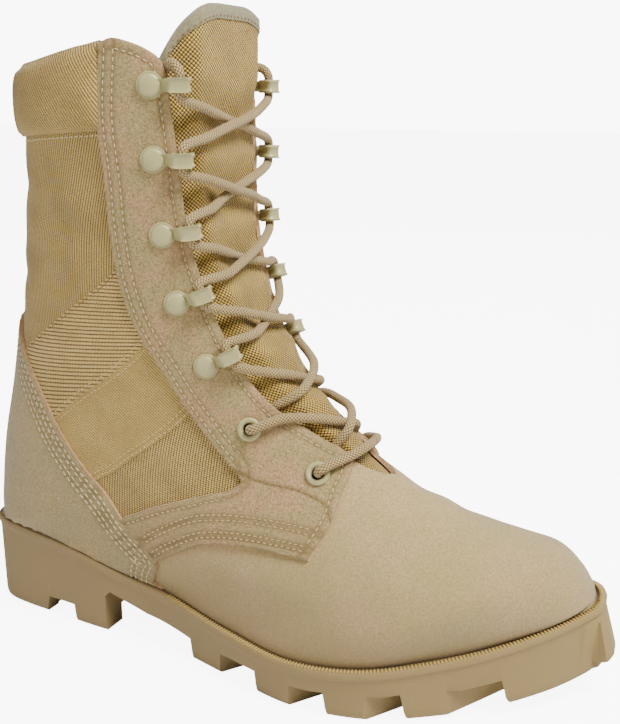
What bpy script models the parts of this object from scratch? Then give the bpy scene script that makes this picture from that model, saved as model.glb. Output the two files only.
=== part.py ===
"""Combat boot, right foot: lugged outsole, hollow upper, tongue, insole, suede overlays, hardware and lace.

Metres, +Z up, toe along +X, the wearer's left (the inner side of the foot) along +Y.
The origin is on the floor, at the centre of the tread block at the back of the heel.
"""
import math

import bmesh
import bpy
import numpy as np
from mathutils import Matrix, Vector

# Driving sizes of the sole
LENGTH = 0.305
BALL_WIDTH = 0.109
HEEL_WIDTH = 0.072
HEEL_BACK = 0.0190
HEEL_HEIGHT = 0.045
SOLE_HEIGHT = 0.0205
TOE_SPRING = 0.0135
LUG_DEPTH = 0.0100
HEEL_LUG_DEPTH = 0.0090
HEEL_LUG_WIDTH = 0.0135
WELT_HEIGHT = 0.0035
WELT_STEP = 0.0008
SOLE_DRAFT = 0.0010

# Driving sizes of the upper
SHAFT_RISE = 0.240
SHAFT_WIDTH = 0.090
INSTEP_RISE = 0.075
WALL = 0.0020
GAP = 0.0003
HEEL_REVEAL = 0.0035
FOREFOOT_REVEAL = 0.0048
LASTING_FADE = 0.030

# Overlays, tongue and insole
OVERLAY_GAP = 0.0006
SUEDE = 0.0016
CUFF_EDGE = 0.0014
CUFF_LOFT = 0.0042
TONGUE_THICK = 0.0030
TONGUE_GAP = 0.0008
TONGUE_BULGE = 0.0014
TONGUE_PRESS = 0.0100
INSOLE_THICK = 0.0030
INSOLE_CLEARANCE = 0.0020

# Hardware and lace
WASHER_RADIUS = 0.0055
DOME_RADIUS = 0.0045
DOME_HEIGHT = 0.0028
LOOP_LENGTH = 0.0074
LOOP_START = 0.0082
LOOP_REACH = 0.0168
LOOP_HEIGHT = 0.0058
LOOP_METAL = 0.0007
ARM_WIDTH = 0.0060
EYELET_RADIUS = 0.0054
EYELET_BORE = 0.0028
EYELET_METAL = 0.0006
EYELET_RISE = 0.0015
LOOP_LIFT = 0.0004
LOOP_FLARE = 0.0004
ARM_LIFT = 0.0002
DRILL_DEPTH = 0.0160
LACE_DIAMETER = 0.0040
CORD_ON_RING = 0.0032
CORD_LEAD = (0.0006, 0.0030)

# Height of the sole's top along the foot: share of LENGTH, height
SEAT = (
    (0.000, 1.000 * HEEL_HEIGHT),
    (0.104, 0.947 * HEEL_HEIGHT),
    (0.215, 0.836 * HEEL_HEIGHT),
    (0.333, 0.653 * HEEL_HEIGHT),
    (0.464, 0.507 * HEEL_HEIGHT),
    (0.595, 1.000 * SOLE_HEIGHT),
    (0.710, 1.083 * SOLE_HEIGHT),
    (0.825, 1.029 * SOLE_HEIGHT + 0.50 * TOE_SPRING),
    (0.923, 1.029 * SOLE_HEIGHT + 1.07 * TOE_SPRING),
    (1.000, 1.029 * SOLE_HEIGHT + 1.64 * TOE_SPRING),
)
# Outline of the sole: position along each side, share of LENGTH, outer side, inner side
OUTLINE = (
    (0.00, 0.000, 0.000 * HEEL_WIDTH, 0.000 * HEEL_WIDTH),
    (0.06, 0.003, -0.153 * HEEL_WIDTH, 0.153 * HEEL_WIDTH),
    (0.12, 0.013, -0.300 * HEEL_WIDTH, 0.306 * HEEL_WIDTH),
    (0.18, 0.034, -0.378 * HEEL_WIDTH, 0.389 * HEEL_WIDTH),
    (0.24, 0.070, -0.425 * HEEL_WIDTH, 0.442 * HEEL_WIDTH),
    (0.31, 0.152, -0.472 * HEEL_WIDTH, 0.493 * HEEL_WIDTH),
    (0.38, 0.251, -0.518 * HEEL_WIDTH, 0.507 * HEEL_WIDTH),
    (0.46, 0.362, -0.345 * BALL_WIDTH, 0.317 * BALL_WIDTH),
    (0.54, 0.493, -0.450 * BALL_WIDTH, 0.358 * BALL_WIDTH),
    (0.61, 0.608, -0.539 * BALL_WIDTH, 0.422 * BALL_WIDTH),
    (0.68, 0.713, -0.517 * BALL_WIDTH, 0.459 * BALL_WIDTH),
    (0.75, 0.802, -0.409 * BALL_WIDTH, 0.468 * BALL_WIDTH),
    (0.81, 0.880, -0.286 * BALL_WIDTH, 0.440 * BALL_WIDTH),
    (0.87, 0.946, -0.141 * BALL_WIDTH, 0.372 * BALL_WIDTH),
    (0.92, 0.979, -0.039 * BALL_WIDTH, 0.289 * BALL_WIDTH),
    (0.96, 0.995, 0.028 * BALL_WIDTH, 0.188 * BALL_WIDTH),
    (1.00, 1.000, 0.083 * BALL_WIDTH, 0.083 * BALL_WIDTH),
)
# Front line of the boot from above the collar down to the toe:
# fan position, share of LENGTH, height above the sole's top
RIDGE = (
    (0.000, 0.457, 1.125 * SHAFT_RISE),
    (0.100, 0.456, 0.995 * SHAFT_RISE),
    (0.200, 0.454, 0.854 * SHAFT_RISE),
    (0.300, 0.457, 0.717 * SHAFT_RISE),
    (0.380, 0.484, 0.603 * SHAFT_RISE),
    (0.460, 0.533, 0.496 * SHAFT_RISE),
    (0.540, 0.589, 1.260 * INSTEP_RISE),
    (0.620, 0.661, 1.000 * INSTEP_RISE),
    (0.700, 0.743, 0.775 * INSTEP_RISE),
    (0.770, 0.818, 0.608 * INSTEP_RISE),
    (0.830, 0.884, 0.485 * INSTEP_RISE),
    (0.880, 0.930, 0.380 * INSTEP_RISE),
    (0.920, 0.958, 0.245 * INSTEP_RISE),
    (0.955, 0.976, 0.113 * INSTEP_RISE),
    (0.980, 0.984, 0.012 * INSTEP_RISE),
    (1.000, 0.984, -0.128 * INSTEP_RISE),
)
# Back line down to the heel and on under the foot:
# fan position, share of LENGTH, height above the sole's top
BACK = (
    (0.000, 0.116, 1.045 * SHAFT_RISE),
    (0.100, 0.113, 0.915 * SHAFT_RISE),
    (0.200, 0.110, 0.773 * SHAFT_RISE),
    (0.300, 0.094, 0.596 * SHAFT_RISE),
    (0.380, 0.075, 0.435 * SHAFT_RISE),
    (0.440, 0.052, 0.300 * SHAFT_RISE),
    (0.490, 0.025, 0.164 * SHAFT_RISE),
    (0.530, 0.014, 0.063 * SHAFT_RISE),
    (0.560, 0.011, -0.020 * HEEL_HEIGHT),
    (0.590, 0.022, -0.547 * HEEL_HEIGHT),
    (0.630, 0.103, -0.836 * HEEL_HEIGHT),
    (0.680, 0.267, -0.756 * HEEL_HEIGHT),
    (0.730, 0.448, -0.609 * HEEL_HEIGHT),
    (0.780, 0.595, -0.544 * HEEL_HEIGHT),
    (0.840, 0.733, -0.511 * HEEL_HEIGHT),
    (0.900, 0.815, -0.338 * HEEL_HEIGHT),
    (0.950, 0.844, -0.204 * HEEL_HEIGHT),
    (1.000, 0.841, -0.109 * HEEL_HEIGHT),
)
# Cross sections: fan position, widest point as a share of front to back, half widths on the
# outer and inner side, roundness in front and behind, sideways shift
SECTIONS = (
    (0.000, 0.50, 0.500 * SHAFT_WIDTH, 0.500 * SHAFT_WIDTH, 2.40, 2.3, 0.0),
    (0.200, 0.50, 0.500 * SHAFT_WIDTH, 0.500 * SHAFT_WIDTH, 2.40, 2.3, 0.0),
    (0.300, 0.50, 0.478 * SHAFT_WIDTH, 0.478 * SHAFT_WIDTH, 2.40, 2.3, 0.0),
    (0.400, 0.52, 0.444 * SHAFT_WIDTH, 0.444 * SHAFT_WIDTH, 2.30, 2.4, 0.0),
    (0.500, 0.55, 0.515 * HEEL_WIDTH, 0.500 * HEEL_WIDTH, 2.20, 2.6, 0.0),
    (0.560, 0.52, 0.505 * HEEL_WIDTH, 0.497 * HEEL_WIDTH, 2.10, 2.9, 0.0),
    (0.630, 0.45, 0.362 * BALL_WIDTH, 0.330 * BALL_WIDTH, 2.05, 2.7, 0.0),
    (0.670, 0.44, 0.399 * BALL_WIDTH, 0.326 * BALL_WIDTH, 2.00, 2.7, 0.0),
    (0.710, 0.42, 0.454 * BALL_WIDTH, 0.362 * BALL_WIDTH, 2.00, 2.8, 0.0),
    (0.770, 0.50, 0.495 * BALL_WIDTH, 0.408 * BALL_WIDTH, 2.00, 2.9, 0.0),
    (0.830, 0.55, 0.450 * BALL_WIDTH, 0.427 * BALL_WIDTH, 2.00, 2.7, 0.009 * BALL_WIDTH),
    (0.880, 0.60, 0.358 * BALL_WIDTH, 0.399 * BALL_WIDTH, 2.00, 2.6, 0.037 * BALL_WIDTH),
    (0.920, 0.60, 0.312 * BALL_WIDTH, 0.349 * BALL_WIDTH, 2.05, 2.4, 0.064 * BALL_WIDTH),
    (0.955, 0.60, 0.257 * BALL_WIDTH, 0.298 * BALL_WIDTH, 2.10, 2.3, 0.083 * BALL_WIDTH),
    (0.980, 0.65, 0.202 * BALL_WIDTH, 0.280 * BALL_WIDTH, 2.20, 2.3, 0.083 * BALL_WIDTH),
    (1.000, 0.65, 0.183 * BALL_WIDTH, 0.275 * BALL_WIDTH, 2.20, 2.3, 0.083 * BALL_WIDTH),
)

# Pattern lines: fan position, angle from the front line as a share of a half turn
THROAT = (
    (0.000, 0.283),
    (0.106, 0.277),
    (0.170, 0.260),
    (0.255, 0.239),
    (0.364, 0.219),
    (0.468, 0.197),
    (0.514, 0.166),
    (0.550, 0.128),
    (0.590, 0.090),
    (0.625, 0.060),
)
THROAT_END = 0.655
EYESTAY_REAR = (
    (0.066, 0.457),
    (0.175, 0.463),
    (0.229, 0.452),
    (0.298, 0.444),
    (0.353, 0.433),
    (0.409, 0.403),
    (0.455, 0.364),
    (0.515, 0.325),
    (0.570, 0.309),
)
# Outline of the eyestay and its band, from the top rear corner forward and down
EYESTAY_TOP = ((0.066, 0.457), (0.060, 0.425), (0.064, 0.387), (0.074, 0.335), (0.088, 0.295), (0.106, 0.277))
BAND_FRONT = ((0.589, 0.088), (0.604, 0.083), (0.619, 0.111), (0.639, 0.177), (0.669, 0.267), (0.690, 0.370))
BAND_LOWER = ((0.667, 0.397), (0.649, 0.423), (0.632, 0.469), (0.631, 0.502), (0.633, 0.520))
BAND_UPPER = ((0.584, 0.493), (0.581, 0.447), (0.585, 0.383), (0.588, 0.320))
# Front edge of the heel counter from the back seam down to the sole
COUNTER_EDGE = (
    (0.372, 1.000),
    (0.382, 0.860),
    (0.413, 0.735),
    (0.456, 0.621),
    (0.476, 0.582),
    (0.544, 0.515),
    (0.584, 0.508),
    (0.633, 0.535),
    (0.653, 0.596),
    (0.700, 0.680),
)
# Corners that close the counter's outline below the sole's top and past the back line
COUNTER_BACK = ((0.75, 0.75), (0.75, 1.20), (COUNTER_EDGE[0][0], 1.20))
# Collar: angle as a share of a half turn, fan position of the cuff's top and bottom edges
COLLAR = (
    (0.450, 0.067, 0.172),
    (0.540, 0.080, 0.176),
    (0.650, 0.091, 0.180),
    (0.800, 0.096, 0.184),
    (1.000, 0.097, 0.186),
)
# How far the wall stops below the top edges of the cuff and eyestays, in fan positions
COLLAR_SET = 0.008
# Top edge of the tongue: angle as a share of a half turn, fan position
TONGUE_TOP = ((0.00, 0.014), (0.10, 0.016), (0.18, 0.028), (0.24, 0.049), (0.29, 0.078), (0.34, 0.115))
TONGUE_END = 0.700
TONGUE_LAP = 0.050
# Where the tongue's face drops under the throat's edge (share of the way across) and under the vamp
TONGUE_SHOULDER = 0.93
TONGUE_ROLL = 0.35
# and how far down the fan the lace presses it flat
TONGUE_DIVE = 0.622
TONGUE_DIVE_LENGTH = 0.045
PRESS_END = 0.620
PRESS_LENGTH = 0.240
PRESS_POWER = 1.8
TONGUE_COLUMNS = (0.20, 0.50, 0.78, 0.97, 1.45, 2.00)
# Centres of the hardware down one side: fan position, angle as a share of a half turn
RIVETS = ((0.118, 0.325), (0.205, 0.320), (0.296, 0.307), (0.374, 0.302), (0.449, 0.277))
EYELETS = ((0.529, 0.240), (0.608, 0.187))
# Lace: how far above or below a row its cord crosses the throat's edge, in fan positions, and how far
# past that edge, as a share of a half turn
LOOP_LEAD = 0.014
FIRST_LEAD = 0.020
SECOND_LEAD = 0.012
EDGE_LAP = 0.012
EDGE_CLEAR = 0.022
RUNS_ON_TOP = (1, -1, 1, -1)

# Lugs of the forefoot: back and front of each channel at the middle, share of LENGTH
CHANNELS = ((0.586, 0.680), (0.739, 0.802), (0.842, 0.884), (0.908, 0.958))
CHANNEL_LEAN = 0.70
CHANNEL_TAPER = 0.0018
# Heel: ends of the back block, the notch and the corner lug, share of LENGTH
HEEL_BLOCK_END = 0.125
HEEL_NOTCH_END = 0.197
HEEL_BREAST = 0.257
ARCH_END = 0.428
ARCH_RISE = 0.0215
HEEL_SLANT = 0.0035
BREAST_SLANT = 0.0030
BELOW_FLOOR = 0.0050

# Stretch of the instep, in fan positions, where the facing bridges the hollow curve, and its fade
INSTEP_HOLLOW = (0.53, 0.66, 0.04)

# Grid of the flat pattern
FAN_LINES = 30
TURN_LINES = 32
SIDE_POINTS = 30
EDGE_SNAP = 2e-4

COLOURS = {
    "sole": ((0.36, 0.25, 0.15, 1.0), 0.75, 0.0),
    "suede": ((0.42, 0.33, 0.22, 1.0), 0.90, 0.0),
    "nylon": ((0.44, 0.33, 0.17, 1.0), 0.85, 0.0),
    "lining": ((0.40, 0.36, 0.26, 1.0), 0.90, 0.0),
    "paint": ((0.50, 0.49, 0.34, 1.0), 0.45, 0.3),
    "lace": ((0.45, 0.36, 0.25, 1.0), 0.85, 0.0),
}


def clear_scene():
    for obj in list(bpy.data.objects):
        bpy.data.objects.remove(obj, do_unlink=True)


def collection(name):
    made = bpy.data.collections.new(name)
    bpy.context.scene.collection.children.link(made)
    return made


def material(name):
    colour, roughness, metallic = COLOURS[name]
    made = bpy.data.materials.new(name)
    made.use_nodes = True
    shader = made.node_tree.nodes["Principled BSDF"]
    shader.inputs["Base Color"].default_value = colour
    shader.inputs["Roughness"].default_value = roughness
    shader.inputs["Metallic"].default_value = metallic
    return made


def curve(table, position):
    """Smooth curve through a table's rows, read at positions of its first column."""
    rows = np.asarray(table, float)
    knots = rows[:, 0]
    values = rows[:, 1:]
    step = np.diff(knots)[:, None]
    slope = np.diff(values, axis=0) / step
    tangent = np.empty_like(values)
    tangent[1:-1] = (slope[:-1] * step[1:] + slope[1:] * step[:-1]) / (step[:-1] + step[1:])
    tangent[0] = slope[0]
    tangent[-1] = slope[-1]
    at = np.clip(np.asarray(position, float), knots[0], knots[-1])
    row = np.clip(np.searchsorted(knots, at, side="right") - 1, 0, len(knots) - 2)
    span = (knots[row + 1] - knots[row])[..., None]
    f = (at - knots[row])[..., None] / span
    start = (1 + 2 * f) * (1 - f) ** 2 * values[row] + f * (1 - f) ** 2 * span * tangent[row]
    end = f * f * (3 - 2 * f) * values[row + 1] + f * f * (f - 1) * span * tangent[row + 1]
    return start + end


def ease(value):
    """Smooth step from 0 to 1."""
    share = np.clip(value, 0.0, 1.0)
    return share * share * (3 - 2 * share)


def along(share):
    """X of a share of the sole's length."""
    return np.asarray(share, float) * LENGTH - HEEL_BACK


def share_of(x):
    return (np.asarray(x, float) + HEEL_BACK) / LENGTH


def seat(x):
    """Height of the sole's top."""
    return curve(SEAT, share_of(x))[..., 0]


def tread(x):
    """Height of the tread, with its toe spring."""
    ahead = np.clip((share_of(x) - 0.710) / (1.0 - 0.710), 0.0, None)
    return TOE_SPRING * ahead ** 2


def outline(position, side, inset=0.0):
    """Point of the sole's outline on one side (-1 outer, 1 inner), moved inwards by inset."""
    def point(at):
        rows = curve(OUTLINE, at)
        return np.stack([along(rows[..., 0]), rows[..., 1 if side < 0 else 2]], -1)
    at = np.asarray(position, float)
    step = 0.002
    ahead = point(np.clip(at + step, 0, 1))
    behind = point(np.clip(at - step, 0, 1))
    run = ahead - behind
    run /= np.linalg.norm(run, axis=-1)[..., None]
    inward = np.stack([-run[..., 1], run[..., 0]], -1) * (1 if side < 0 else -1)
    inward[at <= 0] = (1, 0)
    inward[at >= 1] = (-1, 0)
    return point(at) + inward * np.reshape(inset, (-1, 1))


def reveal(x):
    """Width of sole that shows beside the upper, before the overlays."""
    share = np.clip((share_of(x) - 0.26) / 0.24, 0, 1)
    return HEEL_REVEAL + (FOREFOOT_REVEAL - HEEL_REVEAL) * share


def fan(position, turn):
    """Point of the fan of cross sections; turn runs from the front line, positive on the outer side."""
    position, turn = np.broadcast_arrays(np.asarray(position, float), np.asarray(turn, float))
    front = curve(RIDGE, position)
    back = curve(BACK, position)
    section = curve(SECTIONS, position)
    front_x = along(front[..., 0])
    back_x = along(back[..., 0])
    front_z = seat(front_x) + front[..., 1]
    back_z = seat(back_x) + back[..., 1]
    widest, outer, inner, round_front, round_back, shift = np.moveaxis(section, -1, 0)
    cos = np.cos(turn)
    sin = np.sin(turn)
    power = 2.0 / np.where(cos >= 0, round_front, round_back)
    reach = np.abs(cos) ** power * np.where(cos >= 0, widest, 1 - widest) * np.sign(cos)
    share = widest - reach
    side = np.abs(sin) ** power * np.where(sin >= 0, -outer, inner)
    return np.stack([front_x + share * (back_x - front_x), shift + side, front_z + share * (back_z - front_z)], -1)


def lasting_pull():
    """How far each section is drawn in or out so that it meets the sole at the reveal."""
    positions = np.linspace(0.5, 1.0, 201)
    turns = np.linspace(0.0, math.pi, 361)
    at = np.linspace(0.0, 1.0, 801)
    pull = np.zeros((2, len(positions), 2))
    for index, side in enumerate((-1, 1)):
        bare = outline(at, side)
        edge = outline(at, side, reveal(bare[:, 0]))
        for row, position in enumerate(positions):
            section = fan(position, -side * turns)
            height = section[:, 2] - seat(section[:, 0])
            crossing = np.where((height[:-1] > 0) & (height[1:] <= 0))[0]
            if len(crossing):
                low = crossing[-1]
                share = height[low] / (height[low] - height[low + 1])
                foot = section[low, :2] * (1 - share) + section[low + 1, :2] * share
                nearest = np.argmin(np.linalg.norm(edge - foot, axis=1))
                pull[index, row] = edge[nearest] - foot
    return positions, pull


def surface(position, turn):
    """Outer surface of the upper, met to the sole's outline."""
    point = fan(position, turn)
    positions, pull = LASTING
    at = np.broadcast_to(np.asarray(position, float), point.shape[:-1])
    outer = ease(0.5 + 2 * np.sin(np.broadcast_to(np.asarray(turn, float), point.shape[:-1])))
    fade = ease(1 - (point[..., 2] - seat(point[..., 0])) / LASTING_FADE)
    for axis in (0, 1):
        shift = outer * np.interp(at, positions, pull[0, :, axis])
        shift = shift + (1 - outer) * np.interp(at, positions, pull[1, :, axis])
        point[..., axis] += shift * fade
    return point


def raised(position, turn, height):
    """Point at a height off the upper's surface, along its outward normal."""
    step = 1e-3
    position = np.asarray(position, float)
    turn = np.asarray(turn, float)
    across = surface(position, turn + step) - surface(position, turn - step)
    down = surface(np.clip(position + step, 0, 1), turn) - surface(np.clip(position - step, 0, 1), turn)
    normal = np.cross(across, down)
    normal /= np.linalg.norm(normal, axis=-1)[..., None]
    return surface(position, turn) + normal * np.reshape(height, np.shape(height) + (1,))


def mesh_object(name, vertices, faces, finish, group):
    """Mesh object from points and faces, made a clean solid with its faces outwards."""
    mesh = bpy.data.meshes.new(name)
    mesh.from_pydata([tuple(map(float, v)) for v in vertices], [], [tuple(map(int, f)) for f in faces])
    work = bmesh.new()
    work.from_mesh(mesh)
    bmesh.ops.remove_doubles(work, verts=work.verts, dist=1e-6)
    bmesh.ops.recalc_face_normals(work, faces=work.faces)
    work.to_mesh(mesh)
    work.free()
    mesh.materials.append(finish)
    obj = bpy.data.objects.new(name, mesh)
    group.objects.link(obj)
    return obj


def cutter(obj):
    obj.hide_render = True
    obj.display_type = "WIRE"
    return obj


def boolean(obj, other, operation):
    step = obj.modifiers.new(other.name, "BOOLEAN")
    step.operation = operation
    step.object = other
    step.solver = "EXACT"


def walled(outer, inner, faces):
    """Closed skin between two layers of points over the same faces."""
    count = len(outer)
    edges = {}
    for face in faces:
        for a, b in zip(face, face[1:] + face[:1]):
            edges[(a, b)] = True
    rims = [(a, b) for a, b in edges if (b, a) not in edges]
    skin = [tuple(face) for face in faces]
    skin += [tuple(count + v for v in reversed(face)) for face in faces]
    skin += [(b, a, count + a, count + b) for a, b in rims]
    return np.vstack([outer, inner]), skin


def grid_faces(rows, columns):
    """Quads of a grid of points, each split the same way."""
    faces = []
    for r in range(rows - 1):
        for c in range(columns - 1):
            a = r * columns + c
            b = a + 1
            faces.append([a, b, b + columns])
            faces.append([a, b + columns, a + columns])
    return faces


def pattern_sheet(positions, turns, edges):
    """Flat pattern grid, trimmed to where every edge function is positive."""
    sheet = bmesh.new()
    grid = [[sheet.verts.new((p, t, 0.0)) for t in turns] for p in positions]
    for upper_row, lower_row in zip(grid, grid[1:]):
        for a, b, c, d in zip(upper_row, upper_row[1:], lower_row[1:], lower_row):
            sheet.faces.new((a, b, c))
            sheet.faces.new((a, c, d))
    trimmed = []
    for edge in edges:
        flat = np.array([v.co[:2] for v in sheet.verts])
        for vert, value in zip(sheet.verts, edge(flat[:, 0], flat[:, 1])):
            vert.co.z = value
        whole = sheet.verts[:] + sheet.edges[:] + sheet.faces[:]
        bmesh.ops.bisect_plane(
            sheet, geom=whole, dist=EDGE_SNAP, plane_co=(0, 0, 0), plane_no=(0, 0, 1), clear_inner=True)
        trimmed.append([v for v in sheet.verts if abs(v.co.z) < 1.01 * EDGE_SNAP])
        for vert in sheet.verts:
            vert.co.z = 0.0
    bmesh.ops.triangulate(sheet, faces=sheet.faces[:])
    sheet.verts.index_update()
    flat = np.array([v.co[:2] for v in sheet.verts])
    faces = [[v.index for v in face.verts] for face in sheet.faces]
    last_edge = [v.index for v in trimmed[-1] if v.is_valid]
    sheet.free()
    return flat, faces, last_edge


def inside_outline(corners):
    """Edge function of a closed pattern outline on the outer side: positive inside."""
    rim = np.array([(p, t * math.pi) for p, t in corners])
    ends = np.roll(rim, -1, axis=0)
    scale = np.array([1.0, 0.25])

    def edge(position, turn):
        points = np.stack([position, turn], -1)[:, None, :]
        run = (ends - rim) * scale
        local = (points - rim) * scale
        share = np.clip((local * run).sum(-1) / np.maximum((run ** 2).sum(-1), 1e-12), 0, 1)
        distance = np.linalg.norm(local - share[..., None] * run, axis=-1).min(1)
        p, t = points[:, :, 0], points[:, :, 1]
        spans = (rim[:, 0] > p) != (ends[:, 0] > p)
        rise = np.where(ends[:, 0] == rim[:, 0], 1.0, ends[:, 0] - rim[:, 0])
        cross = rim[:, 1] + (p - rim[:, 0]) / rise * (ends[:, 1] - rim[:, 1])
        odd = (spans & (t < cross)).sum(1) % 2 == 1
        return np.where(odd, distance, -distance)
    return edge


def above_seat(position, turn):
    """Edge function of the line where the upper meets the sole."""
    point = surface(position, turn)
    return point[:, 2] - seat(point[:, 0]) - GAP


def throat_turn(position):
    return curve(THROAT, position)[..., 0] * math.pi


def dense(table, count=28):
    """Points of a smooth table curve, first column included."""
    knots = np.asarray(table)[:, 0]
    at = np.linspace(knots[0], knots[-1], count)
    return [(float(a), float(b)) for a, b in zip(at, curve(table, at)[:, 0])]


def fan_lines():
    """Grid lines of the pattern, further apart on the straight shaft."""
    straight = np.linspace(0.0, 0.3, 7)
    return np.concatenate([straight[:-1], np.linspace(0.3, 1.0, FAN_LINES - 6)])


def turn_lines():
    return np.linspace(-math.pi, math.pi, TURN_LINES + 1)


def set_on_seat(points, indices):
    for index in indices:
        points[index, 2] = seat(points[index, 0]) + GAP


def weld_seam(flat, faces):
    """Faces with the two ends of a whole turn joined."""
    seam = {}
    for index in np.where(flat[:, 1] > math.pi - 1e-5)[0]:
        seam[round(float(flat[index, 0]), 4)] = int(index)
    partner = {}
    for index in np.where(flat[:, 1] < 1e-5 - math.pi)[0]:
        partner[int(index)] = seam[round(float(flat[index, 0]), 4)]
    return [[partner.get(v, v) for v in face] for face in faces]


def skin_object(name, sheet, outer_height, inner_height, finish, group):
    """Solid of one wrapped pattern sheet between two heights off the upper's surface."""
    flat, faces, on_seat = sheet
    outer = raised(flat[:, 0], flat[:, 1], np.full(len(flat), 1.0) * outer_height)
    inner = raised(flat[:, 0], flat[:, 1], np.full(len(flat), 1.0) * inner_height)
    set_on_seat(outer, on_seat)
    set_on_seat(inner, on_seat)
    faces = weld_seam(flat, faces)
    vertices, skin = walled(outer, inner, faces)
    return mesh_object(name, vertices, skin, finish, group)


def upper(finish, group):
    """Vamp, quarters and shaft in one hollow wall, open at collar, throat and underneath."""
    opening = [(THROAT_END, 0.0), (0.645, 0.040)]
    opening += [(p, t + EDGE_LAP) for p, t in reversed(THROAT)]
    opening += [(-0.05, THROAT[0][1] + EDGE_LAP)]
    mirrored = [(p, -t) for p, t in reversed(opening)]
    throat = inside_outline(opening + mirrored[:-1])

    def outside_throat(position, turn):
        return -throat(position, turn)

    def below_collar(position, turn):
        share = np.abs(turn) / math.pi
        rear = curve(COLLAR, share)[:, 0]
        front = curve([(t, p) for p, t in reversed(EYESTAY_TOP)], share)[:, 0]
        return position - np.where(share > COLLAR[0][0], rear, front) - COLLAR_SET

    lines = fan_lines()
    sheet = pattern_sheet(lines, turn_lines(), (below_collar, outside_throat, above_seat))
    return skin_object("upper", sheet, 0.0, -WALL, finish, group)


def stepped(runs, steps):
    """Points along joined pattern lines, each run cut into its own number of even steps."""
    points = [runs[0][:1]]
    for run, count in zip(runs, steps):
        rim = np.array(run)
        lengths = np.linalg.norm(np.diff(rim, axis=0) * (1.0, 0.8), axis=1)
        marks = np.concatenate([[0], np.cumsum(lengths)])
        at = np.linspace(0, marks[-1], count + 1)[1:]
        points.append(np.stack([np.interp(at, marks, rim[:, 0]), np.interp(at, marks, rim[:, 1])], -1))
    return np.vstack(points)


def eyestay(side, name, finish, group):
    """Suede facing along the throat with the band across the lower quarter."""
    throat = [row for row in dense(THROAT, 60) if 0.110 < row[0] < 0.580]
    rear = dense(EYESTAY_REAR, 40)
    steps = (3, 19, 4, 4)
    front_line = stepped((
        list(EYESTAY_TOP[1:]),
        [EYESTAY_TOP[-1]] + throat + list(BAND_FRONT[:2]),
        list(BAND_FRONT[1:]),
        [BAND_FRONT[-1]] + list(BAND_LOWER)), steps)
    rear_line = stepped((
        [row for row in rear if row[0] < 0.104],
        [row for row in rear if row[0] > 0.100],
        [rear[-1], BAND_UPPER[-1]],
        list(reversed(BAND_UPPER))), steps)
    columns = np.linspace(0.0, 1.0, 6)[:, None, None]
    rows = front_line + columns * (rear_line - front_line)
    rows = np.moveaxis(rows, 0, 1)
    flat = rows.reshape(-1, 2) * (1.0, -side * math.pi)
    faces = grid_faces(*rows.shape[:2])
    start, end, fade = INSTEP_HOLLOW
    hollow = ease((flat[:, 0] - start) / fade) * ease((end - flat[:, 0]) / fade)
    under = OVERLAY_GAP + GAP * hollow
    return skin_object(name, (flat, faces, []), under + SUEDE, under, finish, group)


def heel_counter(finish, group):
    """Suede cup round the heel, down to the sole."""
    front_edge = list(COUNTER_EDGE[:2]) + dense(COUNTER_EDGE[2:], 24)
    inside_edge = inside_outline(front_edge + list(COUNTER_BACK))
    turns = turn_lines()
    step = turns[1] - turns[0]
    wrapped = turns[turns > 0.40 * math.pi]
    wrapped = np.concatenate([wrapped, math.pi + step * np.arange(1, len(wrapped))])

    def inside(position, turn):
        return inside_edge(position, np.where(turn > math.pi, 2 * math.pi - turn, turn))

    sheet = pattern_sheet(fan_lines(), wrapped, (inside, above_seat))
    return skin_object("heel_counter", sheet, OVERLAY_GAP + SUEDE, OVERLAY_GAP, finish, group)


def collar_cuff(finish, group):
    """Padded cuff round the back of the collar, between the eyestays."""
    rows = 6
    gap_turn = 0.006 * math.pi
    turns = turn_lines()
    turns = turns[(turns > 0.47 * math.pi)]
    step = turns[1] - turns[0]
    turns = np.concatenate([turns, math.pi + step * np.arange(1, len(turns))])
    start = curve(EYESTAY_REAR, 0.12)[0] * math.pi + gap_turn
    turns = np.concatenate([[start], turns, [2 * math.pi - start]])
    share = np.abs(np.where(turns > math.pi, 2 * math.pi - turns, turns)) / math.pi
    limits = curve(COLLAR, share)
    down = np.linspace(0.0, 1.0, rows)
    position = limits[:, 0] + down[:, None] * (limits[:, 1] - limits[:, 0])
    turn = np.broadcast_to(turns, position.shape)
    loft = np.sqrt(np.clip(1 - (2 * down - 1) ** 2, 0, 1))
    end = np.minimum(np.arange(len(turns)), np.arange(len(turns))[::-1])
    loft = loft[:, None] * np.where(end == 0, 0.35, np.where(end == 1, 0.8, 1.0))
    height = OVERLAY_GAP + CUFF_EDGE + (CUFF_LOFT - CUFF_EDGE) * loft
    outer = raised(position, turn, height).reshape(-1, 3)
    inner = raised(position, turn, np.full(position.shape, OVERLAY_GAP)).reshape(-1, 3)
    vertices, skin = walled(outer, inner, grid_faces(*position.shape))
    return mesh_object("collar_cuff", vertices, skin, finish, group)


def tongue_press(position, across):
    """How far the lace flattens the tongue below the last's round front."""
    middle = (1 - np.minimum(np.abs(across), 1) ** 2) ** PRESS_POWER
    return TONGUE_PRESS * middle * ease((PRESS_END - position) / PRESS_LENGTH)


def tongue_height(position, across):
    """Height of the tongue's face off the upper's surface; across is 1 at the throat's edge."""
    low = -(WALL + TONGUE_GAP)
    rise = ease((TONGUE_SHOULDER - np.abs(across)) / TONGUE_ROLL)
    rise = rise * ease((TONGUE_DIVE - position) / TONGUE_DIVE_LENGTH)
    return low + rise * (TONGUE_BULGE - low) - tongue_press(position, across)


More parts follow.
